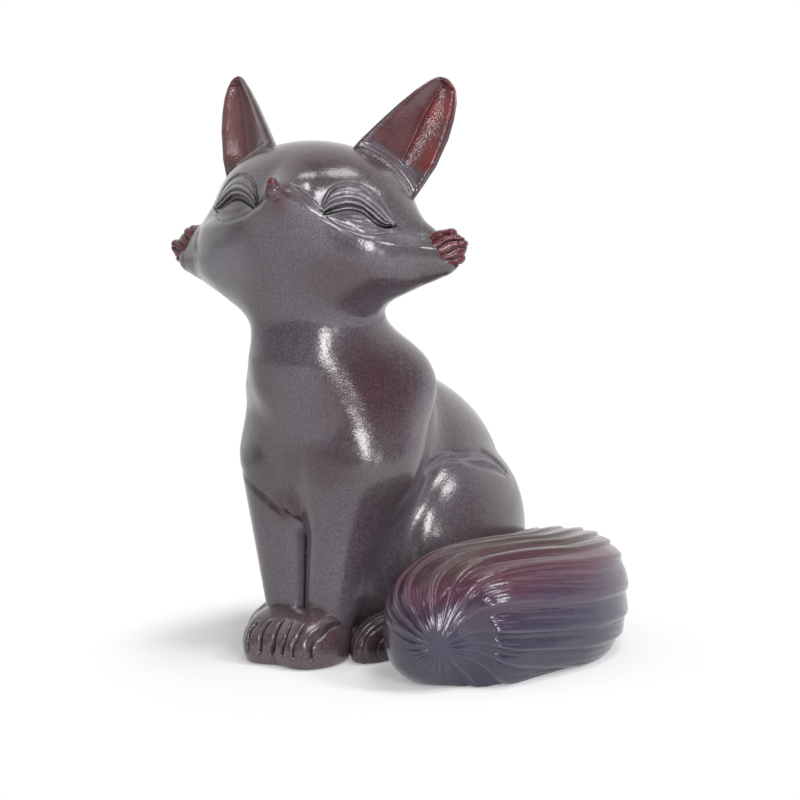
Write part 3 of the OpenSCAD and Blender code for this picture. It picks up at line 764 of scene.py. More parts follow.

# %% [markdown]
# ## The glaze
# A kiln-change glaze is a thick glass that separates in the fire. Fine pale crystals form over a
# dark red-brown ground, so that from afar it looks grey. Where the glass ran off an edge the
# ground shows, and where it gathered it is milky and lavender. Narrow creases are darkened as
# painted shade. Speckle, clouds and the run with its crease shade are node groups, because every
# glaze on the fox uses them, each with its own colours.

# %% Write node trees in short lines
class Tree:
    """A node tree in which a node is made and wired in one line."""

    def __init__(self, tree):
        self.tree = tree

    def wire(self, socket, value):
        if isinstance(value, bpy.types.NodeSocket):
            self.tree.links.new(value, socket)
        else:
            socket.default_value = value

    def add(self, kind, settings=None, **wires):
        node = self.tree.nodes.new(kind)
        for key, value in (settings or {}).items():
            setattr(node, key, value)
        for key, value in wires.items():
            name = key.replace("_", " ").strip()
            numbered = name[0] == "i" and name[1:].isdigit()
            self.wire(node.inputs[int(name[1:]) if numbered else name], value)
        return node

    def group(self, tree, **wires):
        return self.add("ShaderNodeGroup", {"node_tree": tree}, **wires).outputs

    def math(self, operation, a, b=0.0, c=0.0):
        return self.add("ShaderNodeMath", {"operation": operation}, i0=a, i1=b, i2=c).outputs[0]

    def times(self, a, b):
        return self.math("MULTIPLY", a, b)

    def plus(self, a, b):
        return self.math("ADD", a, b)

    def minus(self, a, b):
        return self.math("SUBTRACT", a, b)

    def times_plus(self, a, b, c):
        return self.math("MULTIPLY_ADD", a, b, c)

    def vector(self, operation, a, b=(0, 0, 0)):
        node = self.add("ShaderNodeVectorMath", {"operation": operation}, i0=a)
        self.wire(node.inputs["Scale" if operation == "SCALE" else 1], b)
        return node.outputs["Value" if operation in ("LENGTH", "DOT_PRODUCT") else "Vector"]

    def smooth(self, value, low, high):
        settings = {"interpolation_type": "SMOOTHSTEP"}
        return self.add("ShaderNodeMapRange", settings, i0=value, i1=low, i2=high).outputs[0]

    def here(self):
        return self.add("ShaderNodeTexCoord").outputs["Object"]

    def noise(self, at, per_metre, detail, seed):
        return self.add("ShaderNodeTexNoise", {"noise_dimensions": "4D"}, Vector=at, Scale=per_metre,
                        Detail=detail, W=seed).outputs[0]

    def mixed(self, share, a, b):
        return self.add("ShaderNodeMix", {"data_type": "RGBA"}, i0=share, i6=a, i7=b).outputs[2]

    def attribute(self, name):
        return self.add("ShaderNodeAttribute", {"attribute_name": name}).outputs["Fac"]

    def named(self, name, kind="FLOAT"):
        node = self.add("GeometryNodeInputNamedAttribute", {"data_type": kind}, Name=name)
        return node.outputs["Attribute"]

    def keep(self, geometry, name, value, kind="FLOAT"):
        node = self.add("GeometryNodeStoreNamedAttribute", {"data_type": kind}, Geometry=geometry,
                        Name=name, Value=value)
        return node.outputs["Geometry"]


def new_group(name, inputs, outputs):
    tree = bpy.data.node_groups.new(name, "ShaderNodeTree")
    for key, kind, value in inputs:
        item = tree.interface.new_socket(name=key, in_out="INPUT", socket_type="NodeSocket" + kind)
        item.default_value = value
    for key, kind in outputs:
        tree.interface.new_socket(name=key, in_out="OUTPUT", socket_type="NodeSocket" + kind)
    t = Tree(tree)
    return t, t.add("NodeGroupInput").outputs


def colour(red, green, blue):
    """A colour of 0 to 255 as seen on a screen, in the linear numbers that shaders use."""
    shown = (red/255, green/255, blue/255)
    return (*[c/12.92 if c <= 0.04045 else ((c + 0.055)/1.055)**2.4 for c in shown], 1.0)


print("mid grey is", round(colour(128, 128, 128)[0], 3), "in linear light")


# %% Make the glaze's speckle, clouds and run as node groups
def speckle_group():
    t, given = new_group("glaze_speckle", [("Grains per metre", "Float", 2000.0), ("Seed", "Float", 1.0)],
                         [("Speckle", "Float"), ("Height", "Float")])
    at = t.here()
    grain = t.noise(at, given["Grains per metre"], 1.5, given["Seed"])
    cells = t.add("ShaderNodeTexVoronoi", {"feature": "F1"}, Vector=at,
                  Scale=t.times(given["Grains per metre"], 0.8)).outputs["Distance"]
    both = t.minus(grain, t.times(cells, 0.25))
    t.add("NodeGroupOutput", Speckle=t.smooth(both, 0.22, 0.5), Height=both)
    return t.tree


def clouds_group():
    t, given = new_group("glaze_clouds", [("Clouds per metre", "Float", 42.0), ("Seed", "Float", 1.0)],
                         [("Warm", "Float"), ("Green", "Float"), ("Ripple", "Float")])
    at = t.here()
    warm = t.smooth(t.noise(at, given["Clouds per metre"], 2.0, given["Seed"]), 0.42, 0.66)
    other_seed = t.plus(given["Seed"], 7.0)
    green = t.smooth(t.noise(at, given["Clouds per metre"], 1.0, other_seed), 0.5, 0.72)
    ripple = t.noise(at, 320.0, 1.0, given["Seed"])
    t.add("NodeGroupOutput", Warm=warm, Green=green, Ripple=ripple)
    return t.tree


def run_and_shade_group():
    t, given = new_group("glaze_run_and_shade", [("Edge at", "Float", 0.5), ("Hollow at", "Float", 0.5)],
                         [("Thin", "Float"), ("Pooled", "Float"), ("Crease", "Float")])
    edge, form = t.attribute("edge"), t.attribute("form")
    sharp = t.plus(edge, t.times(form, 0.5))
    thin = t.smooth(sharp, given["Edge at"], t.plus(given["Edge at"], 1.2))
    pooled = t.smooth(t.times(form, -1.0), 0.02, given["Hollow at"])
    # Painted shade: how far the colour is darkened in narrow creases.
    crease_shade = t.smooth(t.times(edge, -1.0), 0.3, 2.0)
    t.add("NodeGroupOutput", Thin=thin, Pooled=pooled, Crease=crease_shade)
    return t.tree


speckle, clouds, run_and_shade = speckle_group(), clouds_group(), run_and_shade_group()


def kiln_glaze_group():
    """The whole glaze, with painted shade in creases. Bare says where else it is thin; Stain is its colour
    there.
    """
    inputs = [("Ground", "Color", colour(58, 37, 43)), ("Grain", "Color", colour(103, 95, 104)),
              ("Stain", "Color", colour(62, 26, 28)), ("Milk", "Color", colour(112, 108, 120)),
              ("Moss", "Color", colour(78, 80, 74)), ("Bare", "Float", 0.0), ("Edge", "Float", 0.25),
              ("Crystals", "Float", 0.6), ("Grains per metre", "Float", 2500.0), ("Seed", "Float", 1.0)]
    outputs = [("Color", "Color"), ("Roughness", "Float"), ("Height", "Float"), ("Gloss", "Float")]
    t, given = new_group("kiln_glaze", inputs, outputs)
    fine = t.group(speckle, Grains_per_metre=given["Grains per metre"], Seed=given["Seed"])
    cloud = t.group(clouds, Seed=given["Seed"])
    run_and_shade_out = t.group(run_and_shade)
    bare = t.math("MAXIMUM", given["Bare"], t.times(run_and_shade_out["Thin"], given["Edge"]))
    crystals = t.times(given["Crystals"], t.times_plus(cloud["Warm"], -0.35, 1.1))
    crystals = t.times(crystals, t.times_plus(bare, -0.8, 1.0))
    grained = t.times_plus(t.minus(fine["Speckle"], 0.5), 0.4, crystals)
    base = t.mixed(t.math("MINIMUM", t.math("MAXIMUM", grained, 0.0), 1.0), given["Ground"], given["Grain"])
    base = t.mixed(t.times(cloud["Green"], 0.4), base, given["Moss"])
    base = t.mixed(t.times(run_and_shade_out["Pooled"], 0.45), base, given["Milk"])
    base = t.mixed(bare, base, given["Stain"])
    # Painted shade: narrow creases are darkened towards near black.
    base = t.mixed(t.times(run_and_shade_out["Crease"], 0.55), base, colour(34, 26, 28))
    roughness = t.times_plus(fine["Speckle"], 0.08, 0.13)
    height = t.times_plus(cloud["Ripple"], 3.0, fine["Height"])
    gloss = t.times_plus(cloud["Green"], -0.2, 0.6)
    t.add("NodeGroupOutput", Color=base, Roughness=roughness, Height=height, Gloss=gloss)
    return t.tree


kiln_glaze = kiln_glaze_group()
print("glaze groups:", ", ".join(tree.name for tree in bpy.data.node_groups))

# %% [markdown]
# Each glaze is one material: the shared group with its own colours, and a Principled shader. The
# glass is smooth, so the highlight is sharp, and a rougher coat gives it the soft glow that fine
# crystals scatter. A bump of a few hundredths of a millimetre breaks the edge of each highlight.

# %% Fire the glazes
GLASS_IOR = 1.52
COAT_ROUGHNESS = 0.3


def spots(t, places):
    """1 inside each place and fading to 0 at its edge. A place is a middle, radii and a strength."""
    at = t.here()
    total = 0.0
    for middle, radii, strength in places:
        off = t.vector("SUBTRACT", at, tuple(v*MM for v in middle))
        off = t.vector("DIVIDE", off, tuple(r*MM for r in radii))
        near = t.smooth(t.vector("LENGTH", off), 1.15, 0.35)
        total = t.math("MAXIMUM", total, t.times(near, strength))
    return total


def new_material(name):
    material = bpy.data.materials.new(name)
    material.use_nodes = True
    material.node_tree.nodes.clear()
    return material, Tree(material.node_tree)


def new_glaze(name, extra=None, ripple=0.035, glow=1.0, **values):
    """A glaze material. The extra function changes the group's colour before the shader takes it."""
    material, t = new_material(name)
    for key, value in values.items():
        if callable(value):
            values[key] = value(t)
    made = t.group(kiln_glaze, **values)
    painted = extra(t, made["Color"]) if extra else made["Color"]
    bump = t.add("ShaderNodeBump", Distance=ripple*MM, Height=made["Height"], Strength=1.0).outputs[0]
    shader = t.add("ShaderNodeBsdfPrincipled", Base_Color=painted, Roughness=made["Roughness"], Normal=bump,
                   Coat_Weight=t.times(made["Gloss"], glow))
    shader.inputs["IOR"].default_value = GLASS_IOR
    shader.inputs["Coat Roughness"].default_value = COAT_ROUGHNESS
    t.add("ShaderNodeOutputMaterial", Surface=shader.outputs[0])
    print(f"{name}: {len(material.node_tree.nodes)} nodes")
    return material


# %% Colour the body and the head
BODY_STAINS = [((13, -17, 52), (11, 12, 12), 0.55), ((-6, -22, 51), (7, 9, 9), 0.35),
               ((7, -23, 38), (9, 8, 5), 0.4), ((-1.5, -20, 29.5), (4.5, 6, 4.2), 0.75),
               ((22, 14, 20), (9, 14, 12), 0.25)]
HEAD_STAINS = [((0, -34, 88), (4, 4, 4), 0.5), ((14, -28, 72), (11, 10, 7), 0.3),
               ((4, -18, 99), (22, 22, 10), 0.38)]
# A pool of light is painted on the fox's right cheek, as a paler colour.
PAINTED_CHEEK_LIGHT = [((-11, -24, 77), (10, 11, 10), 0.75)]


def head_colours(t, base):
    """Painted light on a cheek and the face's ridges, a red muzzle end, and black painted shade in the
    slits.
    """
    at = t.here()
    cloud = t.smooth(t.noise(at, 260.0, 3.0, 8.0), 0.3, 0.75)
    # Painted light: the fox's right cheek is mixed towards a paler grey.
    base = t.mixed(spots(t, PAINTED_CHEEK_LIGHT), base, colour(140, 138, 143))
    # Painted highlight: the ridges of the face are painted pale, as the light they catch.
    ridge = t.smooth(t.attribute("edge"), 0.5, 2.6)
    ridge = t.times(ridge, t.times(t.attribute("face"), 0.45))
    base = t.mixed(ridge, base, colour(150, 146, 152))
    base = t.mixed(t.times(t.attribute("muzzle_end"), cloud), base, colour(74, 40, 43))
    # Painted shade: the slits are painted near black, as the shade inside them.
    return t.mixed(t.attribute("slit"), base, colour(12, 8, 10))


body_glaze = new_glaze("body_kiln_glaze", Bare=lambda t: spots(t, BODY_STAINS), Seed=3.0)
head_glaze = new_glaze("head_kiln_glaze", Bare=lambda t: spots(t, HEAD_STAINS), Seed=5.0,
                       Edge=0.0, extra=head_colours)


# %% Colour the ears, the ruffs, the paws and the tail
def ear_colours(t, base):
    """Valley red on its outer slope, brown on the inner; rims grey; a sheen painted on the right ear's
    outer slope.
    """
    inside, floor, outer = (t.attribute(name) for name in ("inside", "floor", "outer"))
    at = t.here()
    cloud = t.smooth(t.noise(at, 170.0, 2.0, 4.0), 0.35, 0.7)
    red = t.mixed(cloud, colour(118, 34, 36), colour(84, 38, 42))
    brown = t.mixed(cloud, colour(92, 56, 60), colour(74, 38, 42))
    side = t.mixed(outer, brown, red)
    # Painted sheen: on the fox's right ear the outer slope is painted lighter.
    side = t.mixed(t.attribute("paleness_and_sheen"), side, t.mixed(cloud, colour(116, 68, 70), colour(100, 52, 56)))
    side = t.mixed(t.times(floor, 0.7), side, colour(78, 24, 28))
    return t.mixed(inside, base, side)


def lock_colours(t, base):
    ridge = t.smooth(t.attribute("edge"), -1.5, 1.5)
    red = t.mixed(ridge, colour(40, 12, 17), colour(98, 22, 32))
    at = t.here()
    cloud = t.smooth(t.noise(at, 260.0, 2.0, 2.0), 0.35, 0.7)
    red = t.mixed(t.times(cloud, 0.35), red, colour(70, 44, 50))
    return t.mixed(t.attribute("lock"), base, red)


TAIL_BANDS = [(0.002, 0.009, colour(50, 50, 74)), (0.010, 0.0155, colour(66, 44, 72)),
              (0.0162, 0.0192, colour(86, 36, 60)), (0.0198, 0.0232, colour(86, 66, 64))]


def tail_colours(t, base):
    """From the top down: moss and maroon, crimson, purple, slate and navy. The tip is plum. Crests get
    painted highlights.
    """
    at = t.here()
    parts = t.add("ShaderNodeSeparateXYZ", Vector=at).outputs
    wander = t.times(t.minus(t.noise(at, 55.0, 2.0, 6.0), 0.5), 0.012)
    level = t.plus(t.plus(parts["Z"], wander), t.times(t.attribute("edge"), 0.0006))
    painted = colour(32, 38, 64)
    for low, high, above in TAIL_BANDS:
        painted = t.mixed(t.smooth(level, low, high), painted, above)
    lead = t.smooth(parts["X"], 0.036, 0.024)
    painted = t.mixed(t.times(lead, 0.5), painted, colour(74, 48, 62))
    # Painted highlight: the crests of the strands are painted light, as glints along them.
    crest_highlight = t.smooth(t.attribute("edge"), 0.5, 1.0)
    painted = t.mixed(t.times(crest_highlight, 0.55), painted, colour(140, 124, 146))
    return t.mixed(0.8, base, painted)


ear_glaze = new_glaze("ear_thin_glaze", ear_colours, Seed=7.0, Crystals=0.45, Edge=0.1)
thin_glaze = new_glaze("red_thin_glaze", lock_colours, glow=0.3, Seed=9.0, Edge=0.0)
paw_glaze = new_glaze("paw_glaze", Seed=11.0, Crystals=0.55, Ground=colour(66, 38, 40),
                      Grain=colour(106, 92, 98), Edge=0.1)
tail_glaze = new_glaze("combed_tail_glaze", tail_colours, glow=0.5, Seed=13.0, Edge=0.0, Crystals=0.5)


# %% Leave the foot bare
def bare_clay_material():
    """The foot is left unglazed, or it would stick to the kiln's shelf."""
    material, t = new_material("bare_stoneware")
    fine = t.group(speckle, Grains_per_metre=2600.0, Seed=17.0)
    cloud = t.group(clouds, Clouds_per_metre=90.0, Seed=17.0)
    body_colour = t.mixed(cloud["Warm"], colour(196, 178, 152), colour(178, 150, 120))
    body_colour = t.mixed(t.times(fine["Speckle"], 0.35), body_colour, colour(120, 92, 70))
    bump = t.add("ShaderNodeBump", Distance=0.05*MM, Height=fine["Height"], Strength=1.0).outputs[0]
    rough = t.times_plus(fine["Speckle"], 0.12, 0.8)
    shader = t.add("ShaderNodeBsdfPrincipled", Base_Color=body_colour, Roughness=rough, Normal=bump)
    t.add("ShaderNodeOutputMaterial", Surface=shader.outputs[0])
    return material


bare_clay = bare_clay_material()
for slot in bpy.data.objects["base_plate"].material_slots:
    slot.material = bare_clay
print(f"{bare_clay.name} under the foot")

# %% [markdown]
# ## Where each colour lies
# Places that follow a form, such as the floor of an ear's valley or the slit of an eye, can't be
# said as spots in space. They are worked out for every corner of the skin and kept on it as an
# attribute, which the glaze reads by name.

# %% Put each glaze on its pieces
def lay(piece, key, values):
    attribute = piece.data.attributes.new(key, "FLOAT", "POINT")
    attribute.data.foreach_set("value", np.asarray(values, F).ravel())


def corners_mm(piece):
    points = np.empty(3*len(piece.data.vertices), F)
    normals = np.empty(3*len(piece.data.vertices), F)
    piece.data.vertices.foreach_get("co", points)
    piece.data.vertices.foreach_get("normal", normals)
    return points.reshape(-1, 3)/MM, normals.reshape(-1, 3)


for ear, side in zip(ears, (1, -1)):
    points, normals = corners_mm(ear)
    for key, values in ear_marks(points, normals, side).items():
        lay(ear, key, values)
points, normals = corners_mm(head)
near_slit = np.minimum(*[rope(points, face_lines[side]["slit"], 0) for side in (1, -1)])
# The slit attribute says where the slits' painted shade lies.
lay(head, "slit", 1 - step(near_slit, 0.36, 0.62))
lay(head, "muzzle_end", step(along_head(points)[:, 0], 17.5, 21))
# The face attribute bounds where the ridges get painted highlights.
lay(head, "face", step(along_head(points)[:, 2], -12, -9))
for ruff, side in zip(ruffs, (1, -1)):
    points, normals = corners_mm(ruff)
    lay(ruff, "lock", ruff_redness(points, side))
points, normals = corners_mm(nose)
lay(nose, "lock", 0.25 + 0.55*step(along_head(points)[:, 2], 3.5, 6.5))
for pieces, material in (([head], head_glaze), ([body], body_glaze), (ears, ear_glaze),
                         (ruffs + [nose], thin_glaze), (paws, paw_glaze)):
    for piece in pieces:
        piece.data.materials.append(material)
    print(f"{material.name} on {len(pieces)} pieces")

# %% [markdown]
# ## The tail
# The tail follows a path round the fox's left side. Its shape follows a rule: a round brush that
# swells along the path, closes at both ends, lies on the ground and is combed into strands that
# overlap like thatch. Geometry Nodes keeps that rule as a tree with named inputs.

# %% Lay out the path of the tail
tail_low, tail_high = sizes["tail"]
TAIL_REACH = tail_high[0] - 14.05
TAIL_LEAD = -tail_low[1] - 2.46
TAIL_MIDDLE = (TAIL_REACH, 3.5, 10.575)
TAIL_TIP = (TAIL_REACH - 1.5, 0.5 - TAIL_LEAD, 8.57)
ROOT_HALF = [(-3, body_high[1] + 2.5, 7.7), (22, body_high[1] + 3.5, 8.4), (TAIL_REACH + 1.5, 21, 10.575),
             TAIL_MIDDLE]
TIP_HALF = [TAIL_MIDDLE, (TAIL_REACH - 1.8, -10.4, 11.375), (TAIL_REACH - 10, 6.5 - TAIL_LEAD, 9.575),
            TAIL_TIP]
TAIL_ROWS = 220


def cubic(points, t):
    a, b, c, d = np.array(points, float)
    t = np.asarray(t)[..., None]
    return (1 - t)**3*a + 3*(1 - t)**2*t*b + 3*(1 - t)*t*t*c + t**3*d


def tail_line(t):
    root, tip = cubic(ROOT_HALF, np.minimum(2*t, 1)), cubic(TIP_HALF, np.maximum(2*t - 1, 0))
    return np.where((t < 0.5)[:, None], root, tip)


shares = (1 - np.cos(np.pi*np.linspace(0.004, 0.996, TAIL_ROWS)))/2
path_points = tail_line(shares)
path_mesh = bpy.data.meshes.new("tail_path")
path_mesh.from_pydata((path_points*MM).tolist(), [(i, i + 1) for i in range(TAIL_ROWS - 1)], [])
path_mesh.attributes.new("share", "FLOAT", "POINT").data.foreach_set("value", shares.astype(F))
tail = new_object("tail_brush", path_mesh)
path_length = np.linalg.norm(np.diff(path_points, axis=0), axis=1).sum()
print(f"the tail's path is {path_length:.1f} mm long")

# %% [markdown]
# The rules of the brush are small functions, each of which adds a few nodes: how thick it is along
# the path, which section it has, where its strands lie, and the mark at its very tip.


# %% Write the rules of the brush
def brush_size(t, share, root):
    """Size of the brush along the tail as a share of its full size, with both ends rounded."""
    swell = t.times_plus(t.smooth(share, 0.0, 0.45), t.minus(1.0, root), root)
    past_tip = t.math("DIVIDE", t.minus(share, 0.7), 0.3)
    past_root = t.math("DIVIDE", t.minus(0.06, share), 0.06)
    for past in (past_tip, past_root):
        past = t.math("MAXIMUM", past, 0.0)
        swell = t.times(swell, t.math("SQRT", t.minus(1.0, t.times(past, past))))
    return swell


def section_size(t, cosine, sine, share, square, bulge):
    """The section is squarer than a round and fuller on its outer side, and round at the tip."""
    to_tip = t.math("MINIMUM", t.math("DIVIDE", t.minus(1.0, share), 0.3), 1.0)
    power = t.times_plus(to_tip, t.minus(square, 2.0), 2.0)
    across = t.math("POWER", t.math("ABSOLUTE", cosine), power)
    total = t.plus(across, t.math("POWER", t.math("ABSOLUTE", sine), power))
    squared = t.math("POWER", total, t.math("DIVIDE", -1.0, power))
    along = t.math("SINE", t.times(t.math("MINIMUM", t.times(share, 1.25), 1.0), math.pi))
    outer = t.times(t.math("MAXIMUM", t.times(cosine, -1.0), 0.0), along)
    wide = t.times(cosine, t.times_plus(outer, bulge, 1.0))
    return t.times(squared, t.math("SQRT", t.plus(t.times(wide, wide), t.times(sine, sine))))


def strand_share(t, around, share, strands):
    """Where a point lies across its strand, from 0 to 1. The strands drift to and fro along the tail."""
    def wave(turns, along, start):
        turn = t.times_plus(around, turns, t.times_plus(share, along, start))
        return t.math("SINE", t.times(turn, 2*math.pi))
    drift = t.times_plus(wave(2.0, 0.7, 0.0), 0.3, t.times(wave(5.0, -0.5, 1/9), 0.2))
    return t.math("FRACT", t.times_plus(around, strands, drift))


def tip_ring(t, radius):
    """A small round mark where all the strands meet."""
    off = t.math("DIVIDE", t.minus(radius, 0.0008), 0.0003)
    return t.times(t.math("EXPONENT", t.times(t.times(off, off), -1.0)), 0.00018)


def ringed_path(t, given, share):
    """A tube of rings on the path. Each corner keeps its middle, its way ahead and its place around."""
    curve = t.add("GeometryNodeMeshToCurve", Mesh=given["Path"]).outputs[0]
    position = t.add("GeometryNodeInputPosition").outputs[0]
    curve = t.keep(curve, "middle", position, "FLOAT_VECTOR")
    tangent = t.add("GeometryNodeInputTangent").outputs[0]
    curve = t.keep(curve, "ahead", tangent, "FLOAT_VECTOR")
    curve = t.keep(curve, "brush", brush_size(t, share, given["Root share"]))
    ring = t.add("GeometryNodeCurvePrimitiveCircle", Resolution=given["Sides"], Radius=0.001).outputs[0]
    ring = t.keep(ring, "around", t.add("GeometryNodeSplineParameter").outputs["Factor"])
    return t.add("GeometryNodeCurveToMesh", Curve=curve, Profile_Curve=ring, Fill_Caps=True).outputs[0]


print("the tail lies", round(TAIL_REACH, 1), "mm to the fox's left")

# %% [markdown]
# The tree sets rings on the path, then moves each corner out from the path by the size of the
# brush, the section, the furrows between the strands and the fine hairs. What would sink below
# the ground is pressed flat on it.

# %% Grow the tail with Geometry Nodes
TIP_WAY = (-0.6, -0.37, -0.71)
HAIR_TURNS, HAIR_RUNS = 24.0, 5.0
TAIL_INPUTS = [("Path", "Geometry", None), ("Radius", "Float", 0.0128), ("Root share", "Float", 0.547),
               ("Square", "Float", 2.7), ("Bulge", "Float", 0.05), ("Twist", "Float", 0.995),
               ("Sides", "Int", 320), ("Strands", "Float", 20.0), ("Furrow", "Float", 0.0012),
               ("Hair depth", "Float", 0.0001), ("Seed", "Float", 3.0), ("Tip", "Vector", (0, 0, 0)),
               ("Glaze", "Material", None)]


def tail_form(t, given, share):
    """Where each corner of the tube goes, and how near it lies to the crest of a strand."""
    around, brush = t.named("around"), t.named("brush")
    ahead, middle = t.named("ahead", "FLOAT_VECTOR"), t.named("middle", "FLOAT_VECTOR")
    turn = t.times(around, 2*math.pi)
    angle = t.minus(turn, t.times(share, given["Twist"]))
    cosine, sine = t.math("COSINE", angle), t.math("SINE", angle)
    section = section_size(t, cosine, sine, share, given["Square"], given["Bulge"])
    plain = t.times(section, t.times(brush, given["Radius"]))
    aside = t.vector("NORMALIZE", t.vector("CROSS_PRODUCT", ahead, (0, 0, 1)))
    lift = t.vector("CROSS_PRODUCT", aside, ahead)
    out = t.vector("ADD", t.vector("SCALE", aside, cosine), t.vector("SCALE", lift, sine))
    from_tip = t.vector("SUBTRACT", t.vector("ADD", middle, t.vector("SCALE", out, plain)), given["Tip"])
    smooth_tip = t.smooth(t.vector("DOT_PRODUCT", from_tip, TIP_WAY), 0.0012, 0.0045)
    combed = t.times(t.smooth(brush, 0.05, 0.3), t.minus(1.0, smooth_tip))
    combed = t.times(combed, t.times_plus(t.smooth(share, 0.35, 0.7), 0.4, 0.6))
    strand = strand_share(t, around, share, given["Strands"])
    layer = t.times(t.math("POWER", strand, 1.3), t.minus(1.0, t.math("POWER", strand, 9.0)))
    hair_at = t.add("ShaderNodeCombineXYZ", X=t.times(t.math("COSINE", turn), HAIR_TURNS),
                    Y=t.times(t.math("SINE", turn), HAIR_TURNS), Z=t.times(share, HAIR_RUNS)).outputs[0]
    hair = t.times(t.minus(t.noise(hair_at, 1.0, 2.0, given["Seed"]), 0.5), combed)
    relief = t.times(t.times(layer, given["Furrow"]), combed)
    relief = t.times_plus(hair, t.times(given["Hair depth"], 4.0), relief)
    relief = t.plus(relief, tip_ring(t, plain))
    moved = t.vector("ADD", middle, t.vector("SCALE", out, t.plus(plain, relief)))
    return moved, t.times(t.times(t.minus(layer, 0.3), 2.0), combed)


def combed_tail_tree():
    tree = bpy.data.node_groups.new("combed_tail", "GeometryNodeTree")
    sockets = {}
    for name, kind, value in TAIL_INPUTS:
        item = tree.interface.new_socket(name=name, in_out="INPUT", socket_type="NodeSocket" + kind)
        if value is not None:
            item.default_value = value
        sockets[name] = item.identifier
    tree.interface.new_socket(name="Tail", in_out="OUTPUT", socket_type="NodeSocketGeometry")
    t = Tree(tree)
    given = t.add("NodeGroupInput").outputs
    share = t.named("share")
    tube = ringed_path(t, given, share)
    moved, crest = tail_form(t, given, share)
    parts = t.add("ShaderNodeSeparateXYZ", Vector=moved).outputs
    level = t.math("SMOOTH_MAX", parts["Z"], 0.0, 0.0012)
    moved = t.add("ShaderNodeCombineXYZ", X=parts["X"], Y=parts["Y"], Z=level).outputs[0]
    tube = t.add("GeometryNodeSetPosition", Geometry=tube, Position=moved).outputs[0]
    # The crest also says where highlights are painted on the strands.
    tube = t.keep(tube, "edge", crest)
    tube = t.add("GeometryNodeSetShadeSmooth", Geometry=tube).outputs[0]
    tube = t.add("GeometryNodeSetMaterial", Geometry=tube, Material=given["Glaze"]).outputs[0]
    tube = t.add("GeometryNodeRealizeInstances", Geometry=tube).outputs[0]
    t.add("NodeGroupOutput", Tail=tube)
    return tree, sockets


# %% Keep the grown tail as a plain mesh
def signed_volume(mesh):
    mesh.calc_loop_triangles()
    corners = np.empty(3*len(mesh.loop_triangles), np.int32)
    mesh.loop_triangles.foreach_get("vertices", corners)
    points = np.empty(3*len(mesh.vertices), F)
    mesh.vertices.foreach_get("co", points)
    a, b, c = points.reshape(-1, 3)[corners.reshape(-1, 3)].astype(float).transpose(1, 0, 2)
    return float((a*np.cross(b, c)).sum()/6)


def grown(piece, tree, sockets, **values):
    """Evaluate the tree on the piece once and keep the result as a plain mesh."""
    modifier = piece.modifiers.new("grown", "NODES")
    modifier.node_group = tree
    for name, value in values.items():
        modifier[sockets[name.replace("_", " ")]] = value
    graph = bpy.context.evaluated_depsgraph_get()
    mesh = bpy.data.meshes.new_from_object(piece.evaluated_get(graph), preserve_all_data_layers=True,
                                           depsgraph=graph)
    piece.modifiers.clear()
    piece.data = mesh
    if signed_volume(mesh) < 0:
        mesh.flip_normals()
    print(f"{piece.name}: {len(mesh.vertices)} corners, {len(mesh.polygons)} faces")
    return piece


tail_tree, tail_sockets = combed_tail_tree()
grown(tail, tail_tree, tail_sockets, Sides=380, Furrow=1.35*MM, Hair_depth=0.17*MM, Glaze=tail_glaze,
      Tip=[v*MM for v in TAIL_TIP])
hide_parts("tail")

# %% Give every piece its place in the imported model
for pieces, slot in ((ears, "ear_glaze"), (ruffs, "thin_glaze"), ([nose], "thin_glaze"),
                     (paws, "paw_glaze"), ([tail], "tail_glaze")):
    for piece in pieces:
        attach(piece, ROOT)
        print(f"{piece.name} rides on {ROOT}, slot {slot}")

# %% [markdown]
# ## Light
# The fox stands on white paper in a white room that is darker on the camera's side, which is what
# keeps a glossy dark glaze dark. A softbox makes the streak on the chest, and a lamp overhead the
# one on the forehead. The haunch has two spots, the upper one from a window and the lower one from
# a small softbox. The ear's glint comes from a lamp that is seen in the glaze but doesn't light
# it, because it is so small that its shadow would be hard. The paper is lit like the clay, and
# fades to plain white further off, so that only the shadow by the fox shows.

# %% Lay the paper and build the room
PAPER = 1.5
SHADOW_MIDDLE = (0.014, -0.004, 0.0)
SHADOW_FADE = (0.04, 0.062)
PAPER_GLOW = 0.28
ROOM_LIGHT, FRONT_LIGHT = 0.3, 0.12
WHITE = (1, 1, 1, 1)


def camera_and_seen(t):
    """Whether the camera looks at a place, and whether the camera or a reflection does."""
    ray = t.add("ShaderNodeLightPath").outputs
    mirror = t.math("MAXIMUM", ray["Is Glossy Ray"], ray["Is Transmission Ray"])
    return ray["Is Camera Ray"], t.math("MAXIMUM", ray["Is Camera Ray"], mirror)


def add_floor():
    """White paper that keeps the shadow by the fox and is plain white further off."""
    mesh = bpy.data.meshes.new("white_paper")
    corners = [(-PAPER, -PAPER, 0), (PAPER, -PAPER, 0), (PAPER, PAPER, 0), (-PAPER, PAPER, 0)]
    mesh.from_pydata(corners, [], [(0, 1, 2, 3)])
    floor = new_object("white_paper", mesh)
    material, t = new_material("white_paper")
    off = t.vector("LENGTH", t.vector("SUBTRACT", t.here(), SHADOW_MIDDLE))
    far = t.smooth(off, *SHADOW_FADE)
    camera_ray, seen = camera_and_seen(t)
    paper = t.add("ShaderNodeBsdfDiffuse", Color=(0.8, 0.8, 0.82, 1))
    glow = t.add("ShaderNodeEmission", Color=WHITE, Strength=t.times(seen, PAPER_GLOW))
    lit = t.add("ShaderNodeAddShader", i0=paper.outputs[0], i1=glow.outputs[0])
    white = t.add("ShaderNodeEmission", Color=WHITE, Strength=1.0)
    share = t.times(far, camera_ray)
    both = t.add("ShaderNodeMixShader", i0=share, i1=lit.outputs[0], i2=white.outputs[0])
    t.add("ShaderNodeOutputMaterial", Surface=both.outputs[0])
    mesh.materials.append(material)


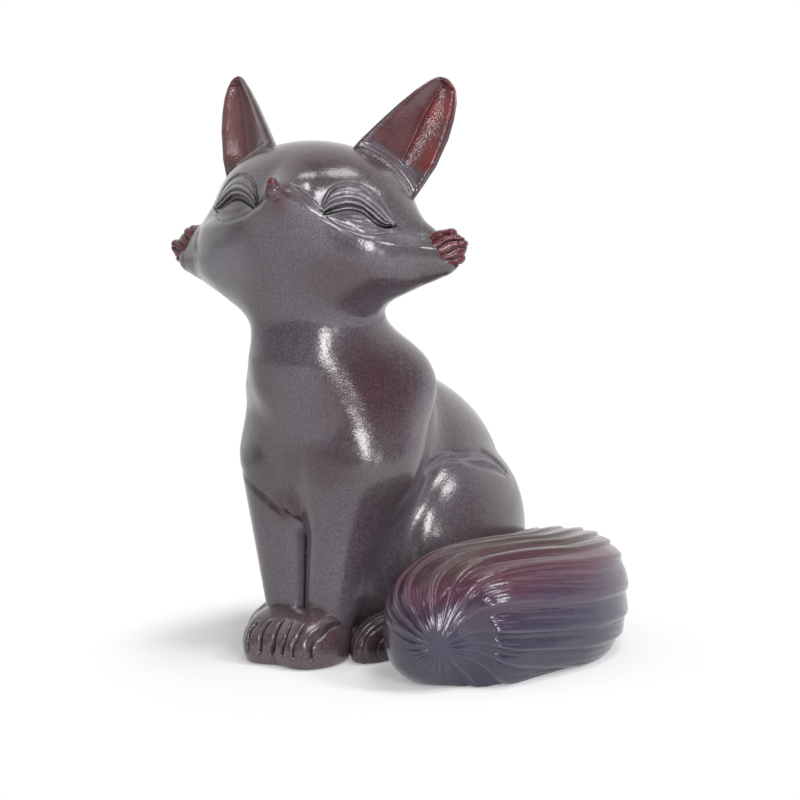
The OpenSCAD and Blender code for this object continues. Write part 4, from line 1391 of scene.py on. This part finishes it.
def add_room(lamp_light, front_light):
    """A white room. It lights the clay at lamp_light, and mirrors at front_light on the camera's side."""
    back = way_to(VIEW_ACROSS, VIEW_ABOVE)
    world = bpy.data.worlds.new("white_room")
    bpy.context.scene.world = world
    world.use_nodes = True
    world.node_tree.nodes.clear()
    t = Tree(world.node_tree)
    way = t.add("ShaderNodeTexCoord").outputs["Generated"]
    behind = t.smooth(t.times(t.vector("DOT_PRODUCT", way, tuple(back)), -1.0), -0.2, 0.45)
    camera_ray, seen = camera_and_seen(t)
    reflected = t.times_plus(behind, 1.0 - front_light, front_light)
    strength = t.math("MAXIMUM", camera_ray, t.times(reflected, seen))
    strength = t.plus(strength, t.times(t.minus(1.0, seen), lamp_light))
    glow = t.add("ShaderNodeBackground", Color=WHITE, Strength=strength)
    t.add("ShaderNodeOutputWorld", Surface=glow.outputs[0])


add_floor()
add_room(ROOM_LIGHT, FRONT_LIGHT)
print(f"paper {2*PAPER:.0f} m wide, room light {ROOM_LIGHT}, and {FRONT_LIGHT} as seen in the glaze")

# %% Hang the lamps
LAMP_AWAY = 0.9


def add_lamp(name, across, above, size, brightness, only_glint=False):
    """A softbox that faces the fox: degrees round to its left, degrees up, degrees wide and high."""
    toward = way_to(across, above)
    aside = np.cross((0, 0, 1), toward)
    aside /= np.linalg.norm(aside)
    data = bpy.data.lights.new(name, "AREA")
    data.shape = "RECTANGLE"
    data.size, data.size_y = (2*LAMP_AWAY*math.tan(math.radians(v)/2) for v in size)
    data.energy = brightness*math.pi*data.size*data.size_y
    lamp = new_object(name, data)
    stand(lamp, aside, np.cross(toward, aside), toward, AIM*MM + toward*LAMP_AWAY)
    lamp.visible_diffuse = not only_glint
    return data.energy


watts = [add_lamp("chest_softbox", 48, 19, (14, 20), 16),
         add_lamp("haunch_window", 92, 42, (15, 13), 15),
         add_lamp("haunch_softbox", 68, 6, (5, 8), 12),
         add_lamp("forehead_lamp", 84, 72, (26, 12), 8),
         add_lamp("ear_lamp", -8, 52, (3, 5), 26, only_glint=True),
         add_lamp("left_fill", -50, 35, (40, 40), 0.45)]
print("lamps:", ", ".join(f"{w:.1f} W" for w in watts))
bpy.context.scene.view_settings.view_transform = "Standard"
